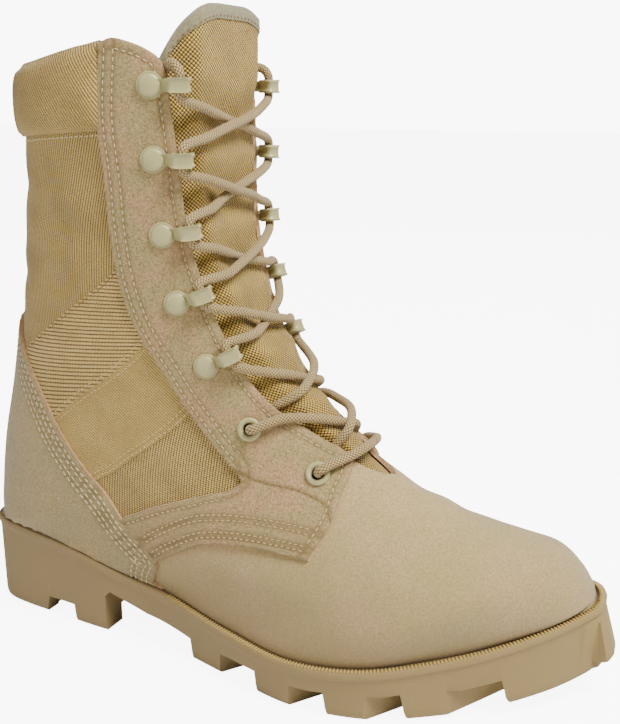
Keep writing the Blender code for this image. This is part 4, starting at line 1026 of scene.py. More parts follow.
WHOLE_TURN = (-math.pi, math.pi)
shaft_flat, shaft_faces, _ = flat_piece((0.05, 0.52), WHOLE_TURN, (below_collar, outside_throat, shaft_foot))
shaft = wrapped("shaft", (shaft_flat, shaft_faces, []), 0.0, -WALL, (SHAFT_CLOTH, LINING, LINING),
                folds=SHAFT_FOLDS)
dressed(shaft, "woven_nylon", "upper")


def quarter_top(position, turn):
    return -shaft_foot(position, turn)


def quarter_foot(position, turn):
    return VAMP_TOP - position


quarter = wrapped(
    "quarter",
    flat_piece((0.39, 0.62), WHOLE_TURN,
               (quarter_top, quarter_foot, outside_throat, both_eyelets, above_seat)),
    0.0, -WALL, (QUARTER_CLOTH, LINING, LINING))
dressed(quarter, "woven_nylon", "upper")
vamp = wrapped(
    "vamp",
    flat_piece((VAMP_TOP, 1.0), WHOLE_TURN, (outside_throat, both_eyelets, above_seat)),
    0.0, -WALL, (SUEDE_VAMP, LINING, RAW_EDGE), folds=VAMP_FOLDS)
dressed(vamp, "suede", "upper")
for obj in (shaft, quarter, vamp):
    print(obj.name, len(obj.data.polygons), "faces")

# %% [markdown]
# ## Ankle strap
# A folded strap of ribbed nylon crosses the ankle from the eyestay down to the heel. A double seam
# divides it, and its cloth runs another way below that seam.

# %% The strap's two halves
STRAP_RISE = 0.0005
HEM_RISE = 0.00025
HEM_WIDTH = 0.0022
HEM_TROUGH = 0.0003
HEM_ROW = 0.0028
HEM_ROW_WIDTH = 0.0008


def one_side(piece, side):
    """Pattern piece cut for the outer side, turned over for the inner one."""
    flat, faces, _ = piece
    turned_over = [list(reversed(f)) for f in faces] if side > 0 else faces
    return flat * (1.0, -side), turned_over, []


def strap_half(name, top, foot, finish, side):
    corners = smooth_line(top) + list(reversed(smooth_line(foot)))
    edge = inside_outline(corners)
    lines = [line_points(smooth_line(line, 300), side) for line in (top, foot)]

    def relief(points):
        near = np.minimum(near_line(points, lines[0]), near_line(points, lines[1]))
        hem = HEM_RISE * ease(1 - near / HEM_WIDTH)
        return hem - HEM_TROUGH * ease(1 - np.abs(near - HEM_ROW) / HEM_ROW_WIDTH)

    piece = flat_piece((0.30, 0.60), (0.28 * math.pi, 0.90 * math.pi), (edge,), 0.003, math.pi / 160)
    return wrapped(name, one_side(piece, side), STRAP_RISE, 0.00005, (finish,) * 3, 0.0002, relief)


straps = {}
for side, word in SIDES:
    for half, top, foot, finish in (("upper", STRAP_TOP, STRAP_SEAM, STRAP_CLOTH),
                                    ("lower", STRAP_SEAM, STRAP_FOOT, STRAP_LOWER_CLOTH)):
        straps[half, side] = strap_half("strap_%s_%s" % (half, word), top, foot, finish, side)
        dressed(straps[half, side], "woven_nylon")

# %% [markdown]
# ## Suede overlays
# The eyestay runs down both sides of the throat and widens into a band across the instep. The heel
# counter wraps the back. Their rims show the leather's pale pink core, and each row of stitches
# pulls a soft trough into the face.

# %% Eyestays and counter
ROW_WIDTH = 0.0009


def trough(near, offsets):
    """Depth of the soft troughs at rows of stitches, by distance from the edge."""
    depth = np.zeros(len(near))
    for offset in offsets:
        depth -= TROUGH * np.exp(-((near - offset) / ROW_WIDTH) ** 2)
    return depth


throat_part = [row for row in dense(THROAT, 120) if 0.110 < row[0] < 0.585]
REAR_ROWS = (0.0030, 0.0072)
FRONT_ROWS = (0.0042,)
LOWER_ROWS = (0.0030, 0.0052, 0.0105, 0.0128)
UPPER_ROWS = (0.0032,)
COUNTER_ROWS = (0.0030, 0.0056, 0.0088, 0.0114)
front_edge = smooth_line(EYESTAY_TOP, 30) + throat_part + smooth_line(BAND_FRONT, 50)
lower_edge = smooth_line((BAND_FRONT[-1],) + BAND_LOWER, 40)
upper_edge = smooth_line(BAND_UPPER + ((0.584, 0.309),), 30)
rear_edge = list(reversed([row for row in dense(EYESTAY_REAR, 120) if row[0] < 0.572]))
eyestay_outline = inside_outline(front_edge + lower_edge[1:] + upper_edge + rear_edge)


def eyestay(side, word):
    lines = [(line_points(front_edge, side), FRONT_ROWS), (line_points(rear_edge, side), REAR_ROWS),
             (line_points(lower_edge, side), LOWER_ROWS), (line_points(upper_edge, side), UPPER_ROWS)]
    seam = line_points(smooth_line(BAND_SEAM), side)

    def relief(points):
        depth = np.zeros(len(points))
        for line, rows in lines:
            depth += trough(near_line(points, line), rows)
        return depth - 0.0004 * np.exp(-(near_line(points, seam) / 0.0008) ** 2)

    def hole(position, turn):
        return clear_of_eyelets(side)(position, -side * turn)

    reach = (0.05 * math.pi, 0.54 * math.pi)
    piece = flat_piece((0.05, 0.70), reach, (eyestay_outline, hole), 0.0035, math.pi / 200)
    made = wrapped("eyestay_" + word + "_suede", one_side(piece, side), OVERLAY_GAP + SUEDE, 0.0001,
                   (SUEDE_UPPER, RAW_EDGE, RAW_EDGE), 0.0005, relief)
    return dressed(made, "suede", "eyestay_" + word)


eyestays = {side: eyestay(side, word) for side, word in SIDES}
counter_front = smooth_line(COUNTER_EDGE[:-1], 120)
counter_corners = counter_front + [(0.75, 0.75), (0.75, 1.2), (COUNTER_EDGE[0][0], 1.2)]
counter_outline = inside_outline(counter_corners)


def heel_counter():
    lines = [line_points(counter_front, side) for side in (-1, 1)]

    def relief(points):
        near = np.minimum(near_line(points, lines[0]), near_line(points, lines[1]))
        return trough(near, COUNTER_ROWS)

    def inside(position, turn):
        return counter_outline(position, np.where(turn > math.pi, 2 * math.pi - turn, turn))

    reach = (0.49 * math.pi, 1.51 * math.pi)
    piece = flat_piece((0.36, 0.72), reach, (inside, above_seat), 0.0040, math.pi / 150)
    made = wrapped("heel_counter_suede", piece, OVERLAY_GAP + SUEDE, 0.0001,
                   (SUEDE_COUNTER, RAW_EDGE, RAW_EDGE), 0.0005, relief)
    return dressed(made, "suede", "heel_counter")


counter = heel_counter()
print("overlays:", [len(o.data.polygons) for o in (*eyestays.values(), counter)])

# %% [markdown]
# ## Padded cuff
# The collar is a foam roll covered with ribbed nylon. It stands proud of the shaft, folds over its
# top edge and ends inside, where the lining takes over.

# %% The cuff as one closed loop of sections
CUFF_LOFT = 0.0044
CUFF_INSIDE = 0.090


def cuff():
    around = np.linspace(0.459, 1.541, 130) * math.pi
    share = np.abs(np.where(around > math.pi, 2 * math.pi - around, around)) / math.pi
    top, foot = np.moveaxis(curve(COLLAR, share), -1, 0)
    down = np.linspace(0.0, 1.0, 17)
    loft = np.clip(1 - np.abs(2 * down - 1) ** 2.6, 0, 1) ** 0.5
    rows = []
    for share_down, rise in zip(down[::-1], loft[::-1]):
        rows.append((top + share_down * (foot - top), OVERLAY_GAP + 0.0006 + (CUFF_LOFT - 0.0006) * rise))
    for step, height in ((-0.006, -0.0002), (-0.006, -0.0016), (-0.001, -0.0036)):
        rows.append((top + step, height))
    for share_down in (0.35, 0.7, 1.0):
        rows.append((top + share_down * CUFF_INSIDE, -WALL - 0.0018 * (1 - share_down) - 0.0004))
    rows.append((top + CUFF_INSIDE, -WALL + 0.0002))
    rows.append((top + 0.012, -WALL + 0.0002))
    rows.append((top + 0.012, 0.0001))
    rows.append((foot - 0.004, 0.0001))
    ends = np.minimum(np.arange(len(around)), np.arange(len(around))[::-1])
    pinch = np.interp(ends, (0, 1, 3, 6), (0.30, 0.62, 0.88, 1.0))
    points = []
    places = []
    for position, height in rows:
        tall = np.full(len(around), height) if np.isscalar(height) else height
        tall = np.where(tall > 0.001, 0.001 + (tall - 0.001) * pinch, tall)
        points.append(raised(position, around, tall))
        places.append(cloth_place(np.stack([position, around], -1)))
    place = np.vstack(places)
    faces = roll_faces(len(points), len(around))
    corners = [place[v] for f in faces for v in f]
    made = mesh_piece("collar_cuff_padded", np.vstack(points), faces, (CUFF_CLOTH,), None, corners)
    tidy_solid(made)
    return dressed(made, "woven_nylon", "collar_cuff")


padded_cuff = cuff()
print("cuff:", len(padded_cuff.data.polygons), "faces")

# %% [markdown]
# ## Hardware
# Each speed-lace loop is a riveted dome with a neck that opens into a flat tunnel. A ridge runs
# round each mouth of the tunnel. One loop is modelled at the origin, then set on the suede ten times.

# %% Painted metal
def painted_metal():
    made, tree, shader = new_material(
        "sage paint", Roughness=0.38, Metallic=0.0, Coat_Weight=0.25, Coat_Roughness=0.3)
    place = add(tree, "TexCoord").outputs["Object"]
    cloud = noise(tree, place, 300.0, detail=3.0)
    tree.links.new(mix(tree, cloud, tone("a09a78"), tone("b4ad8a")), shader.inputs["Base Color"])
    bumped(tree, shader, cloud, 0.0001, 0.3)
    return made


PAINT = painted_metal()
WASHER_RADIUS = 0.0056
DOME_RADIUS = 0.0046
DOME_HEIGHT = 0.0026
LOOP_START = 0.0082
LOOP_REACH = 0.0168
LOOP_LENGTH = 0.0060
LOOP_HEIGHT = 0.0060
LOOP_METAL = 0.0008
LOOP_ROUND = 0.62
ARM_START = 0.0034
ARM_STEPS = 16
ARM_LIP = 0.0010
ARM_PLATE = 0.0011
ARM_HALF = 0.0023
ARM_WIDENS = 0.0007
EYELET_RADIUS = 0.0041
EYELET_TUBE = 0.0013


def turned_shape(profile, steps=32):
    """Vertices and faces of a closed profile of (radius, height) turned about Z."""
    angles = np.linspace(0, 2 * math.pi, steps, endpoint=False)
    vertices = [(r * math.cos(a), r * math.sin(a), z) for r, z in profile for a in angles]
    return vertices, ring_faces(len(profile), steps)


def dome_shape():
    arc = [(DOME_RADIUS * math.cos(a), 0.0012 + (DOME_HEIGHT - 0.0012) * math.sin(a))
           for a in np.linspace(math.pi / 2, 0.05, 9)]
    arc[0] = (1e-5, DOME_HEIGHT)
    washer = [(DOME_RADIUS + 0.0002, 0.0008), (WASHER_RADIUS - 0.0003, 0.0009),
              (WASHER_RADIUS, 0.0006), (WASHER_RADIUS, 0.0), (1e-5, 0.0)]
    return turned_shape(arc + washer)


def tunnel_shape():
    """Loop of metal over the lace: a rounded oval swept across, with a ridge at each mouth."""
    half_long = (LOOP_REACH - LOOP_START) / 2
    half_high = LOOP_HEIGHT / 2
    around = np.linspace(0, 2 * math.pi, 44, endpoint=False)
    across = np.linspace(-0.5, 0.5, 17)
    ridge = 0.00065 * (np.exp(-((np.abs(across) - 0.36) / 0.10) ** 2) - 0.20 * np.exp(-(across / 0.13) ** 2))
    rings = [(y * LOOP_LENGTH, lift) for y, lift in zip(across, ridge)]
    rings += [(y * LOOP_LENGTH, -LOOP_METAL) for y in across[::-4]]
    vertices = []
    for y, lift in rings:
        for a in around:
            x = math.copysign(abs(math.cos(a)) ** LOOP_ROUND, math.cos(a)) * (half_long + lift)
            z = math.copysign(abs(math.sin(a)) ** LOOP_ROUND, math.sin(a)) * (half_high + lift)
            vertices.append((LOOP_START + half_long + x, y, half_high + 0.0004 + z))
    return vertices, ring_faces(len(rings), len(around))


def neck_shape():
    """Tapered plate from the washer up to the tunnel's top, with its edges turned up."""
    rows = []
    for x in np.linspace(ARM_START, LOOP_REACH - 0.0006, ARM_STEPS + 1):
        top = ARM_PLATE + (LOOP_HEIGHT - 0.0004) * ease((x - 0.0050) / 0.0038)
        half = ARM_HALF + ARM_WIDENS * ease((x - ARM_START) / 0.0080)
        for y in np.linspace(-1, 1, 9):
            rows.append((x, y * half, float(top) + ARM_LIP * abs(y) ** 5))
    flat = [(x, y, max(0.0003, z - ARM_PLATE)) for x, y, z in rows]
    count = len(rows)
    faces = []
    for r in range(ARM_STEPS):
        for c in range(8):
            a = r * 9 + c
            faces.append([a, a + 1, a + 10, a + 9])
            faces.append([count + a, count + a + 9, count + a + 10, count + a + 1])
    rim = rim_edges(faces[::2])
    faces += [[b, a, count + a, count + b] for a, b in rim]
    return rows + flat, faces


def joined(shapes):
    """One shape of several, each with its own vertices and faces."""
    vertices = []
    faces = []
    for points, polygons in shapes:
        faces += [[v + len(vertices) for v in f] for f in polygons]
        vertices += list(points)
    return vertices, faces


def frame_at(position, turn, height):
    """Placement on the upper: Z outwards, X towards the throat, Y up along it."""
    origin = raised(position, turn, height)
    outwards = Vector(raised(position, turn, height + 0.01) - origin).normalized()
    towards = Vector(surface(position, turn * 0.9) - surface(position, turn)).normalized()
    lift = outwards.cross(towards).normalized()
    towards = lift.cross(outwards).normalized()
    if lift.z < 0:
        lift = -lift
    placed = Matrix((towards, lift, outwards)).transposed().to_4x4()
    placed.translation = Vector(origin)
    return placed


TOP = OVERLAY_GAP + GAP + SUEDE


def loop_frame(row, side, height=TOP):
    """Placement of a loop on the suede, its neck tilted to stand square to the throat."""
    position, turn = RIVETS[row]
    tilt = Matrix.Rotation(math.radians(LOOP_TILT[row]), 4, "Z")
    return frame_at(position, -side * turn * math.pi, height) @ tilt


def ring_frame(row, side):
    position, turn = EYELETS[row]
    return frame_at(position, -side * turn * math.pi, TOP)


def placed_piece(name, shape, matrix, materials, node):
    vertices = [matrix @ Vector(v) for v in shape[0]]
    made = mesh_piece(name, vertices, shape[1], materials)
    tidy_solid(made)
    made.data.shade_smooth()
    made.data.set_sharp_from_angle(angle=math.radians(55))
    return dressed(made, "painted_hardware", node)


def eyelet_shape():
    """Rolled ring with a sleeve down through the hole."""
    ring = [(EYELET_RADIUS + EYELET_TUBE * math.cos(a), 0.0004 + 0.0011 * math.sin(a))
            for a in np.linspace(0, math.pi, 9)]
    return turned_shape(ring + [(0.0027, -0.0040), (0.0031, -0.0040), (0.0031, -0.0002)])


LOOP = joined((dome_shape(), neck_shape(), tunnel_shape()))
RING = eyelet_shape()
for side, word in SIDES:
    for row in range(len(RIVETS)):
        placed_piece("loop_%s_%d" % (word, row + 1), LOOP, loop_frame(row, side, TOP - 0.0002),
                     (PAINT,), "speedlace_%s_%d" % (word, row + 1))
    for row in range(len(EYELETS)):
        placed_piece("ring_%s_%d" % (word, row + 1), RING, ring_frame(row, side),
                     (PAINT,), "eyelet_%s_%d" % (word, row + 1))

# %% [markdown]
# ## Lace
# One round braided cord: a bar across the bottom rings, then two runs that cross between every row
# and pass up through the loops. Above the top loops both runs tuck in behind the eyestays. Each run
# is a smooth curve through given points on the rings, loops and tongue.

# %% The two runs of the lace
BRAID_PITCH = 0.0011
LEAD_DEPTH = 0.0040
LOW_LEAD = 0.020
HIGH_LEAD = 0.012
LOOP_MIDDLE = (LOOP_START + LOOP_REACH) / 2
LOOP_LEAD = 0.014
OVER = 1.5 * LACE_RADIUS
# In each gap between the loops, from the top down: the side where the run on top arrives.
ON_TOP = (1, -1, 1, -1)


def braid(name, light, dark):
    made, tree, shader = new_material(name, Roughness=0.8, Sheen_Weight=0.2, Specular_IOR_Level=0.25)
    place = add(tree, "UVMap", {"uv_map": "UVMap"}).outputs[0]
    yarn = use_group(tree, WEAVE, {"Place": place, "Pitch": BRAID_PITCH, "Angle": math.radians(45)})
    fine = noise(tree, place, 1200.0)
    shade = times(tree, yarn["Crest"], plus(tree, 0.6, fine), True)
    # Painted shade: the braid darkens towards its dark colour between the yarns.
    tree.links.new(mix(tree, shade, tone(dark), tone(light)), shader.inputs["Base Color"])
    bumped(tree, shader, yarn["Height"], 0.0005, 0.9)
    return made


# The second colour is painted shade between the braid's yarns.
LACE = braid("braided lace", "b9a683", "63513a")


def tongue_press(position, across):
    """How far the lace flattens the tongue below the last's round front."""
    middle = (1 - np.minimum(np.abs(across), 1) ** 2) ** PRESS_POWER
    return TONGUE_PRESS * middle * ease((PRESS_END - position) / PRESS_LENGTH)


def over_tongue(position, turn, lift):
    pressed = tongue_press(position, turn / throat_turn(position))
    height = TONGUE_BULGE + 4 * GAP + LACE_RADIUS + lift - pressed
    return raised(position, turn * math.pi, height)


def in_frame(placed, local):
    return np.array(placed @ Vector(local))


def loop_points(row, side):
    """The run's points up through one loop."""
    height = LOOP_HEIGHT / 2 + 0.0002
    return [in_frame(loop_frame(row, side), (LOOP_MIDDLE, y, height)) for y in (-0.0046, 0.0, 0.0046)]


def ring_points(row, side):
    """Points over the eyestay's edge, down into a ring and out under the throat's edge."""
    position = EYELETS[row][0]
    turn = float(throat_turn(position)) + 0.012
    over = raised(position, -side * turn * math.pi, TOP + 0.0006 + LACE_RADIUS)
    local = ((0.0016, 0.0, 0.0038), (0.0003, 0.0, 0.0006), (0.0030, 0.0, -0.0066))
    return [over] + [in_frame(ring_frame(row, side), point) for point in local]


def tuck_points(side):
    """Out of the top loop, round its neck and in behind the eyestay's edge."""
    local = ((0.0112, 0.0072, 0.0022), (0.0092, 0.0086, -0.0002),
             (0.0068, 0.0076, -0.0034), (0.0040, 0.0048, -0.0050))
    return [in_frame(loop_frame(0, side), point) for point in local]


def crossing(start, end, start_side, lift):
    """Points over the tongue between two rows; lift raises the run that lies on top."""
    points = []
    for share in (0.2, 0.36, 0.5, 0.64, 0.8):
        position = start[0] + share * (end[0] - start[0])
        turn = -start_side * start[1] + share * (start_side * (start[1] + end[1]))
        points.append(over_tongue(position, turn, lift * math.sin(math.pi * share) ** 2))
    return points


def throat_edge(position):
    return position, float(throat_turn(position))


def from_ring(row, side, lead, end):
    """Points through a ring, out from under the throat's edge and across to the next row."""
    position, turn = throat_edge(EYELETS[row][0] - lead)
    turn -= 0.010
    under = raised(position, -side * (turn + 0.03) * math.pi, -LEAD_DEPTH)
    over = crossing((position, turn), end, side, OVER if side == -1 else 0.0)
    return ring_points(row, side) + [under] + over


def lace_run(first):
    """One run from the middle of the bar up to where it tucks in; first is its side at the bar."""
    edge = [throat_edge(p) for p, _ in RIVETS]
    low = throat_edge(EYELETS[1][0])
    points = [over_tongue(low[0], -first * low[1] * s, 0.0008) for s in (0.0, 0.35, 0.7)]
    points += from_ring(1, first, LOW_LEAD, throat_edge(EYELETS[0][0]))
    points += from_ring(0, -first, HIGH_LEAD, (RIVETS[4][0] + LOOP_LEAD, edge[4][1]))
    side = first
    for row in (4, 3, 2, 1, 0):
        points += loop_points(row, side)
        if row:
            start = (RIVETS[row][0] - LOOP_LEAD, edge[row][1])
            end = (RIVETS[row - 1][0] + LOOP_LEAD, edge[row - 1][1])
            points += crossing(start, end, side, OVER if side == -ON_TOP[row - 1] else 0.0)
            side = -side
    points += tuck_points(side)
    return points


def smooth_path(points, step=0.0011):
    """Even points along a smooth curve through the given ones."""
    rows = np.array(points, float)
    run = distance_along(rows, 0.5)
    table = np.column_stack([run, rows])
    fine = curve(table, np.linspace(0, run[-1], 40 * len(rows)))
    length = distance_along(fine)
    at = np.linspace(0, length[-1], max(3, round(length[-1] / step)))
    return np.stack([np.interp(at, length, fine[:, axis]) for axis in range(3)], -1), length[-1]


def tube_piece(name, path, radius, finish, sides=14):
    """Closed tube along a path, with cloth places round it and along it."""
    tangent = np.gradient(path, axis=0)
    tangent /= np.linalg.norm(tangent, axis=1)[:, None]
    normal = np.cross(tangent[0], (0.0, 0.0, 1.0))
    normal /= np.linalg.norm(normal)
    angles = np.linspace(0, 2 * math.pi, sides, endpoint=False)
    rings = []
    for place, direction in zip(path, tangent):
        normal = normal - direction * np.dot(normal, direction)
        normal /= np.linalg.norm(normal)
        other = np.cross(direction, normal)
        rings.append(place + radius * (np.cos(angles)[:, None] * normal + np.sin(angles)[:, None] * other))
    count = len(rings)
    run = distance_along(path)
    girth = BRAID_PITCH * round(2 * math.pi * radius / BRAID_PITCH / math.sqrt(2)) * math.sqrt(2)
    corners = []
    for start, end in zip(run, run[1:]):
        for c in range(sides):
            left, right = c / sides * girth, (c + 1) / sides * girth
            corners += [(left, start), (right, start), (right, end), (left, end)]
    corners += [(0.0, 0.0)] * (2 * sides)
    faces = ring_faces(count, sides, False)
    faces.append(list(range(sides))[::-1])
    faces.append([(count - 1) * sides + c for c in range(sides)])
    made = mesh_piece(name, np.vstack(rings), faces, (finish,), None, corners)
    tidy_solid(made)
    return made


lace_paths = {}
for first, word in ((-1, "first"), (1, "second")):
    lace_paths[first], lace_length = smooth_path(lace_run(first))
    run = tube_piece("lace_run_" + word, lace_paths[first], LACE_RADIUS, LACE)
    nodes = ["lace_bar"] + ["lace_crossing_%d" % (n + 1) for n in range(6)] if first < 0 else []
    dressed(run, "lace_cord", *nodes)
    print("lace run %s: %.3f m" % (word, lace_length))

# %% [markdown]
# ## Tongue
# The tongue is coarse woven nylon over a thin foam. The lace presses it down, so it swells between
# the crossings. A suede binding covers its top edge, and its sides run under the throat's edges.

# %% Tongue and binding
PUFF = 0.0028
PUFF_REACH = 0.012
DIVE_EDGE = 0.96
DIVE_WIDTH = 0.38
DIVE_END = 0.622
DIVE_LENGTH = 0.045
TAPE = 0.0062
TAPE_SKIN = 0.0006
lace_line = np.vstack(list(lace_paths.values()))


def tongue_place(across, down):
    """Pattern place on the tongue: across is 1 at the throat's edge, down runs from its top."""
    inner = np.minimum(np.abs(across), 1)
    outer = np.maximum(np.abs(across) - 1, 0)
    start = curve(TONGUE_TOP, inner * THROAT[0][1] + outer * TONGUE_LAP)[..., 0]
    position = start + down * (TONGUE_END - start)
    edge = np.maximum(throat_turn(position), 0.075)
    turn = -np.sign(across) * (inner * edge + outer * TONGUE_LAP) * math.pi
    return position, turn


def tongue_height(position, across):
    """Height of the tongue, which dives under the throat's edges and at its foot."""
    low = -(WALL + TONGUE_GAP)
    rise = ease((DIVE_EDGE - np.abs(across)) / DIVE_WIDTH) * ease((DIVE_END - position) / DIVE_LENGTH)
    return low + rise * (TONGUE_BULGE - low) - tongue_press(position, across), rise


def tongue_surface(across, down, depth=0.0, puffed=True):
    position, turn = tongue_place(across, down)
    height, rise = tongue_height(position, across)
    point, normal = surface_frame(position, turn)
    if puffed:
        bare = point + normal * height[..., None]
        near = near_line(bare.reshape(-1, 3), lace_line).reshape(height.shape)
        height = height + PUFF * rise * ease((near - 0.003) / PUFF_REACH)
    return point + normal * (height - depth)[..., None], position, turn


def tongue():
    across = np.linspace(-1.9, 1.9, 121)
    down = np.linspace(0, 1, 181)
    grid_across, grid_down = np.meshgrid(across, down)
    front, position, turn = tongue_surface(grid_across, grid_down)
    back, _, _ = tongue_surface(grid_across, grid_down, TONGUE_THICK, False)
    rows, columns = position.shape
    place = cloth_place(np.stack([position.ravel(), turn.ravel()], -1))
    faces = []
    for r in range(rows - 1):
        for c in range(columns - 1):
            a = r * columns + c
            faces.append([a, a + 1, a + 1 + columns, a + columns])
    count = rows * columns
    rim = rim_edges(faces)
    skin = two_layers(faces, rim, count)
    marks = [0] * len(faces) + [1] * (len(faces) + len(rim))
    corners = [place[v % count] for f in skin for v in f]
    made = mesh_piece("tongue_padded", np.vstack([front.reshape(-1, 3), back.reshape(-1, 3)]), skin,
                      (TONGUE_CLOTH, LINING), marks, corners)
    tidy_solid(made)
    return dressed(made, "woven_nylon", "tongue")


def tongue_binding():
    """Suede tape folded over the tongue's top edge."""
    across = np.linspace(-1.5, 1.5, 90)
    tape = TAPE / ALONG[-1]
    skin = TAPE_SKIN
    loop = []
    for down, depth in ((tape, -skin), (0.55 * tape, -skin * 1.3), (0.1 * tape, -skin * 1.3),
                        (-0.12 * tape, 0.0004), (-0.16 * tape, TONGUE_THICK / 2),
                        (-0.12 * tape, TONGUE_THICK - 0.0004), (0.1 * tape, TONGUE_THICK + skin),
                        (tape, TONGUE_THICK + skin), (tape, 0.0008)):
        front = depth < TONGUE_THICK / 2
        loop.append(tongue_surface(across, np.full(len(across), down * 1.6), depth, front)[0])
    faces = roll_faces(len(loop), len(across))
    made = mesh_piece("tongue_binding", np.vstack(loop), faces, (BINDING,))
    tidy_solid(made)
    return dressed(made, "suede")


def binding_seam():
    across = np.linspace(-1.0, 1.0, 160)
    return tongue_surface(across, np.full(len(across), 1.25 * TAPE / ALONG[-1]), -0.00085)[0]


for obj in (tongue(), tongue_binding()):
    print(obj.name, len(obj.data.polygons), "faces")

# %% [markdown]
# ## Sole
# The sole is one moulding in tan rubber. Its side is drafted, the rim carries a strip of fine ribs
# round the forefoot, and deep chevron lugs are cut from below with sloping walls.

# %% Rubber
def rubber(name, light, dark):
    """Rubber in soft clouds of two tones, lighter towards the toe."""
    made, tree, shader = new_material(name, Roughness=0.62, Specular_IOR_Level=0.35)
    place = add(tree, "TexCoord").outputs["Object"]
    cloud = noise(tree, place, 22.0, detail=4.0)
    fine = noise(tree, place, 900.0, detail=2.0)
    toe = ranged(tree, add(tree, "SeparateXYZ", None, {0: place}).outputs[0], 0.12, 0.27)
    shade = plus(tree, times(tree, toe, 0.55), times(tree, cloud, 0.45), True)
    tree.links.new(mix(tree, shade, tone(dark), tone(light)), shader.inputs["Base Color"])
    bumped(tree, shader, fine, 0.0002, 0.35)
    return made


RUBBER = rubber("tan rubber", "918061", "807159")
# Painted light: the rim's ribs are the sole's own rubber painted lighter, as if lit on their upturned tops.
RIM_RUBBER_PAINTED_LIGHT = rubber("rim rubber painted lighter", "ab9770", "94825f")
CHANNELS = ((0.586, 0.680), (0.739, 0.802), (0.842, 0.884), (0.908, 0.958))
CHANNEL_LEAN = 0.70
CHANNEL_TAPER = 0.0018
LUG_DEPTH = 0.0100
HEEL_LUG_DEPTH = 0.0090
HEEL_LUG_WIDTH = 0.0135
HEEL_BLOCK_END = 0.125
HEEL_NOTCH_END = 0.197
HEEL_BREAST = 0.257
ARCH_END = 0.428
ARCH_RISE = 0.0215
WELT_HEIGHT = 0.0035
WELT_STEP = 0.0008
SOLE_DRAFT = 0.0010
SIDE_POINTS = 260
GROOVE = 0.0016
BUMPER_FLARE = 0.0064
BUMPER_EDGE = 0.006


# %% Body of the sole
def sole_ring(inset, height, of_reveal=0.0, flare=0.0, crease=0.0):
    """One ring round the sole, drawn in by inset and a share of the reveal, flared at the toe."""
    at = np.linspace(0.0, 1.0, SIDE_POINTS)
    sides = []
    for side in (-1, 1):
        shown = of_reveal * reveal(outline(at, side)[:, 0])
        bumper = ease((at - crease) / BUMPER_EDGE)
        flat = outline(at, side, inset + shown - flare * bumper)
        sides.append(np.column_stack([flat, height(flat[:, 0])]))
    return np.vstack([sides[0], sides[1][1:-1][::-1]])


def prism_object(name, bottom, top):
    count = len(bottom)
    faces = [list(range(count))[::-1], [count + i for i in range(count)]]
    for i in range(count):
        n = (i + 1) % count
        faces.append([i, n, count + n, count + i])
    made = mesh_piece(name, list(bottom) + list(top), faces, (RUBBER,))
    tidy_solid(made)
    return made


def sole_cutters():
    wide = BALL_WIDTH
    below = 0.005
    made = []
    for number, (back, front) in enumerate(CHANNELS):
        lean = CHANNEL_LEAN * wide
        ring = []
        for x, sign in ((float(along(back)), 1), (float(along(front)), -1)):
            row = [(x - lean, -wide, sign), (x, 0.0, sign), (x - lean, wide, sign)]
            ring += row if sign > 0 else row[::-1]
        bottom = [(x, y, -below) for x, y, _ in ring]
        top = [(x + s * CHANNEL_TAPER, y, float(tread(x)) + LUG_DEPTH) for x, y, s in ring]
        made.append(prism_object("channel_%d" % number, bottom, top))
    back, front, breast = (float(along(v)) for v in (HEEL_BLOCK_END, HEEL_NOTCH_END, HEEL_BREAST))
    slant = 0.0035
    made.append(prism_object(
        "heel_notch",
        [(back, -wide, -below), (back, wide, -below), (front, wide, -below), (front, -wide, -below)],
        [(back + slant, -wide, HEEL_LUG_DEPTH), (back + slant, wide, HEEL_LUG_DEPTH),
         (front - slant / 2, wide, HEEL_LUG_DEPTH), (front - slant / 2, -wide, HEEL_LUG_DEPTH)]))
    half = HEEL_WIDTH / 2 - HEEL_LUG_WIDTH
    plan = [(back, -half), (back, half), (breast + below, half), (breast + below, -half)]
    made.append(prism_object(
        "heel_middle", [(x, y, -below) for x, y in plan], [(x, y, HEEL_LUG_DEPTH) for x, y in plan]))
    end = float(along(ARCH_END))
    profile = [(breast, -below), (breast, 0.86 * ARCH_RISE), (breast + 0.003, ARCH_RISE),
               (breast + 0.45 * (end - breast), 0.66 * ARCH_RISE), (end - 0.002, LUG_DEPTH), (end, -below)]
    made.append(prism_object("arch", [(x, -wide, z) for x, z in profile], [(x, wide, z) for x, z in profile]))
    return made


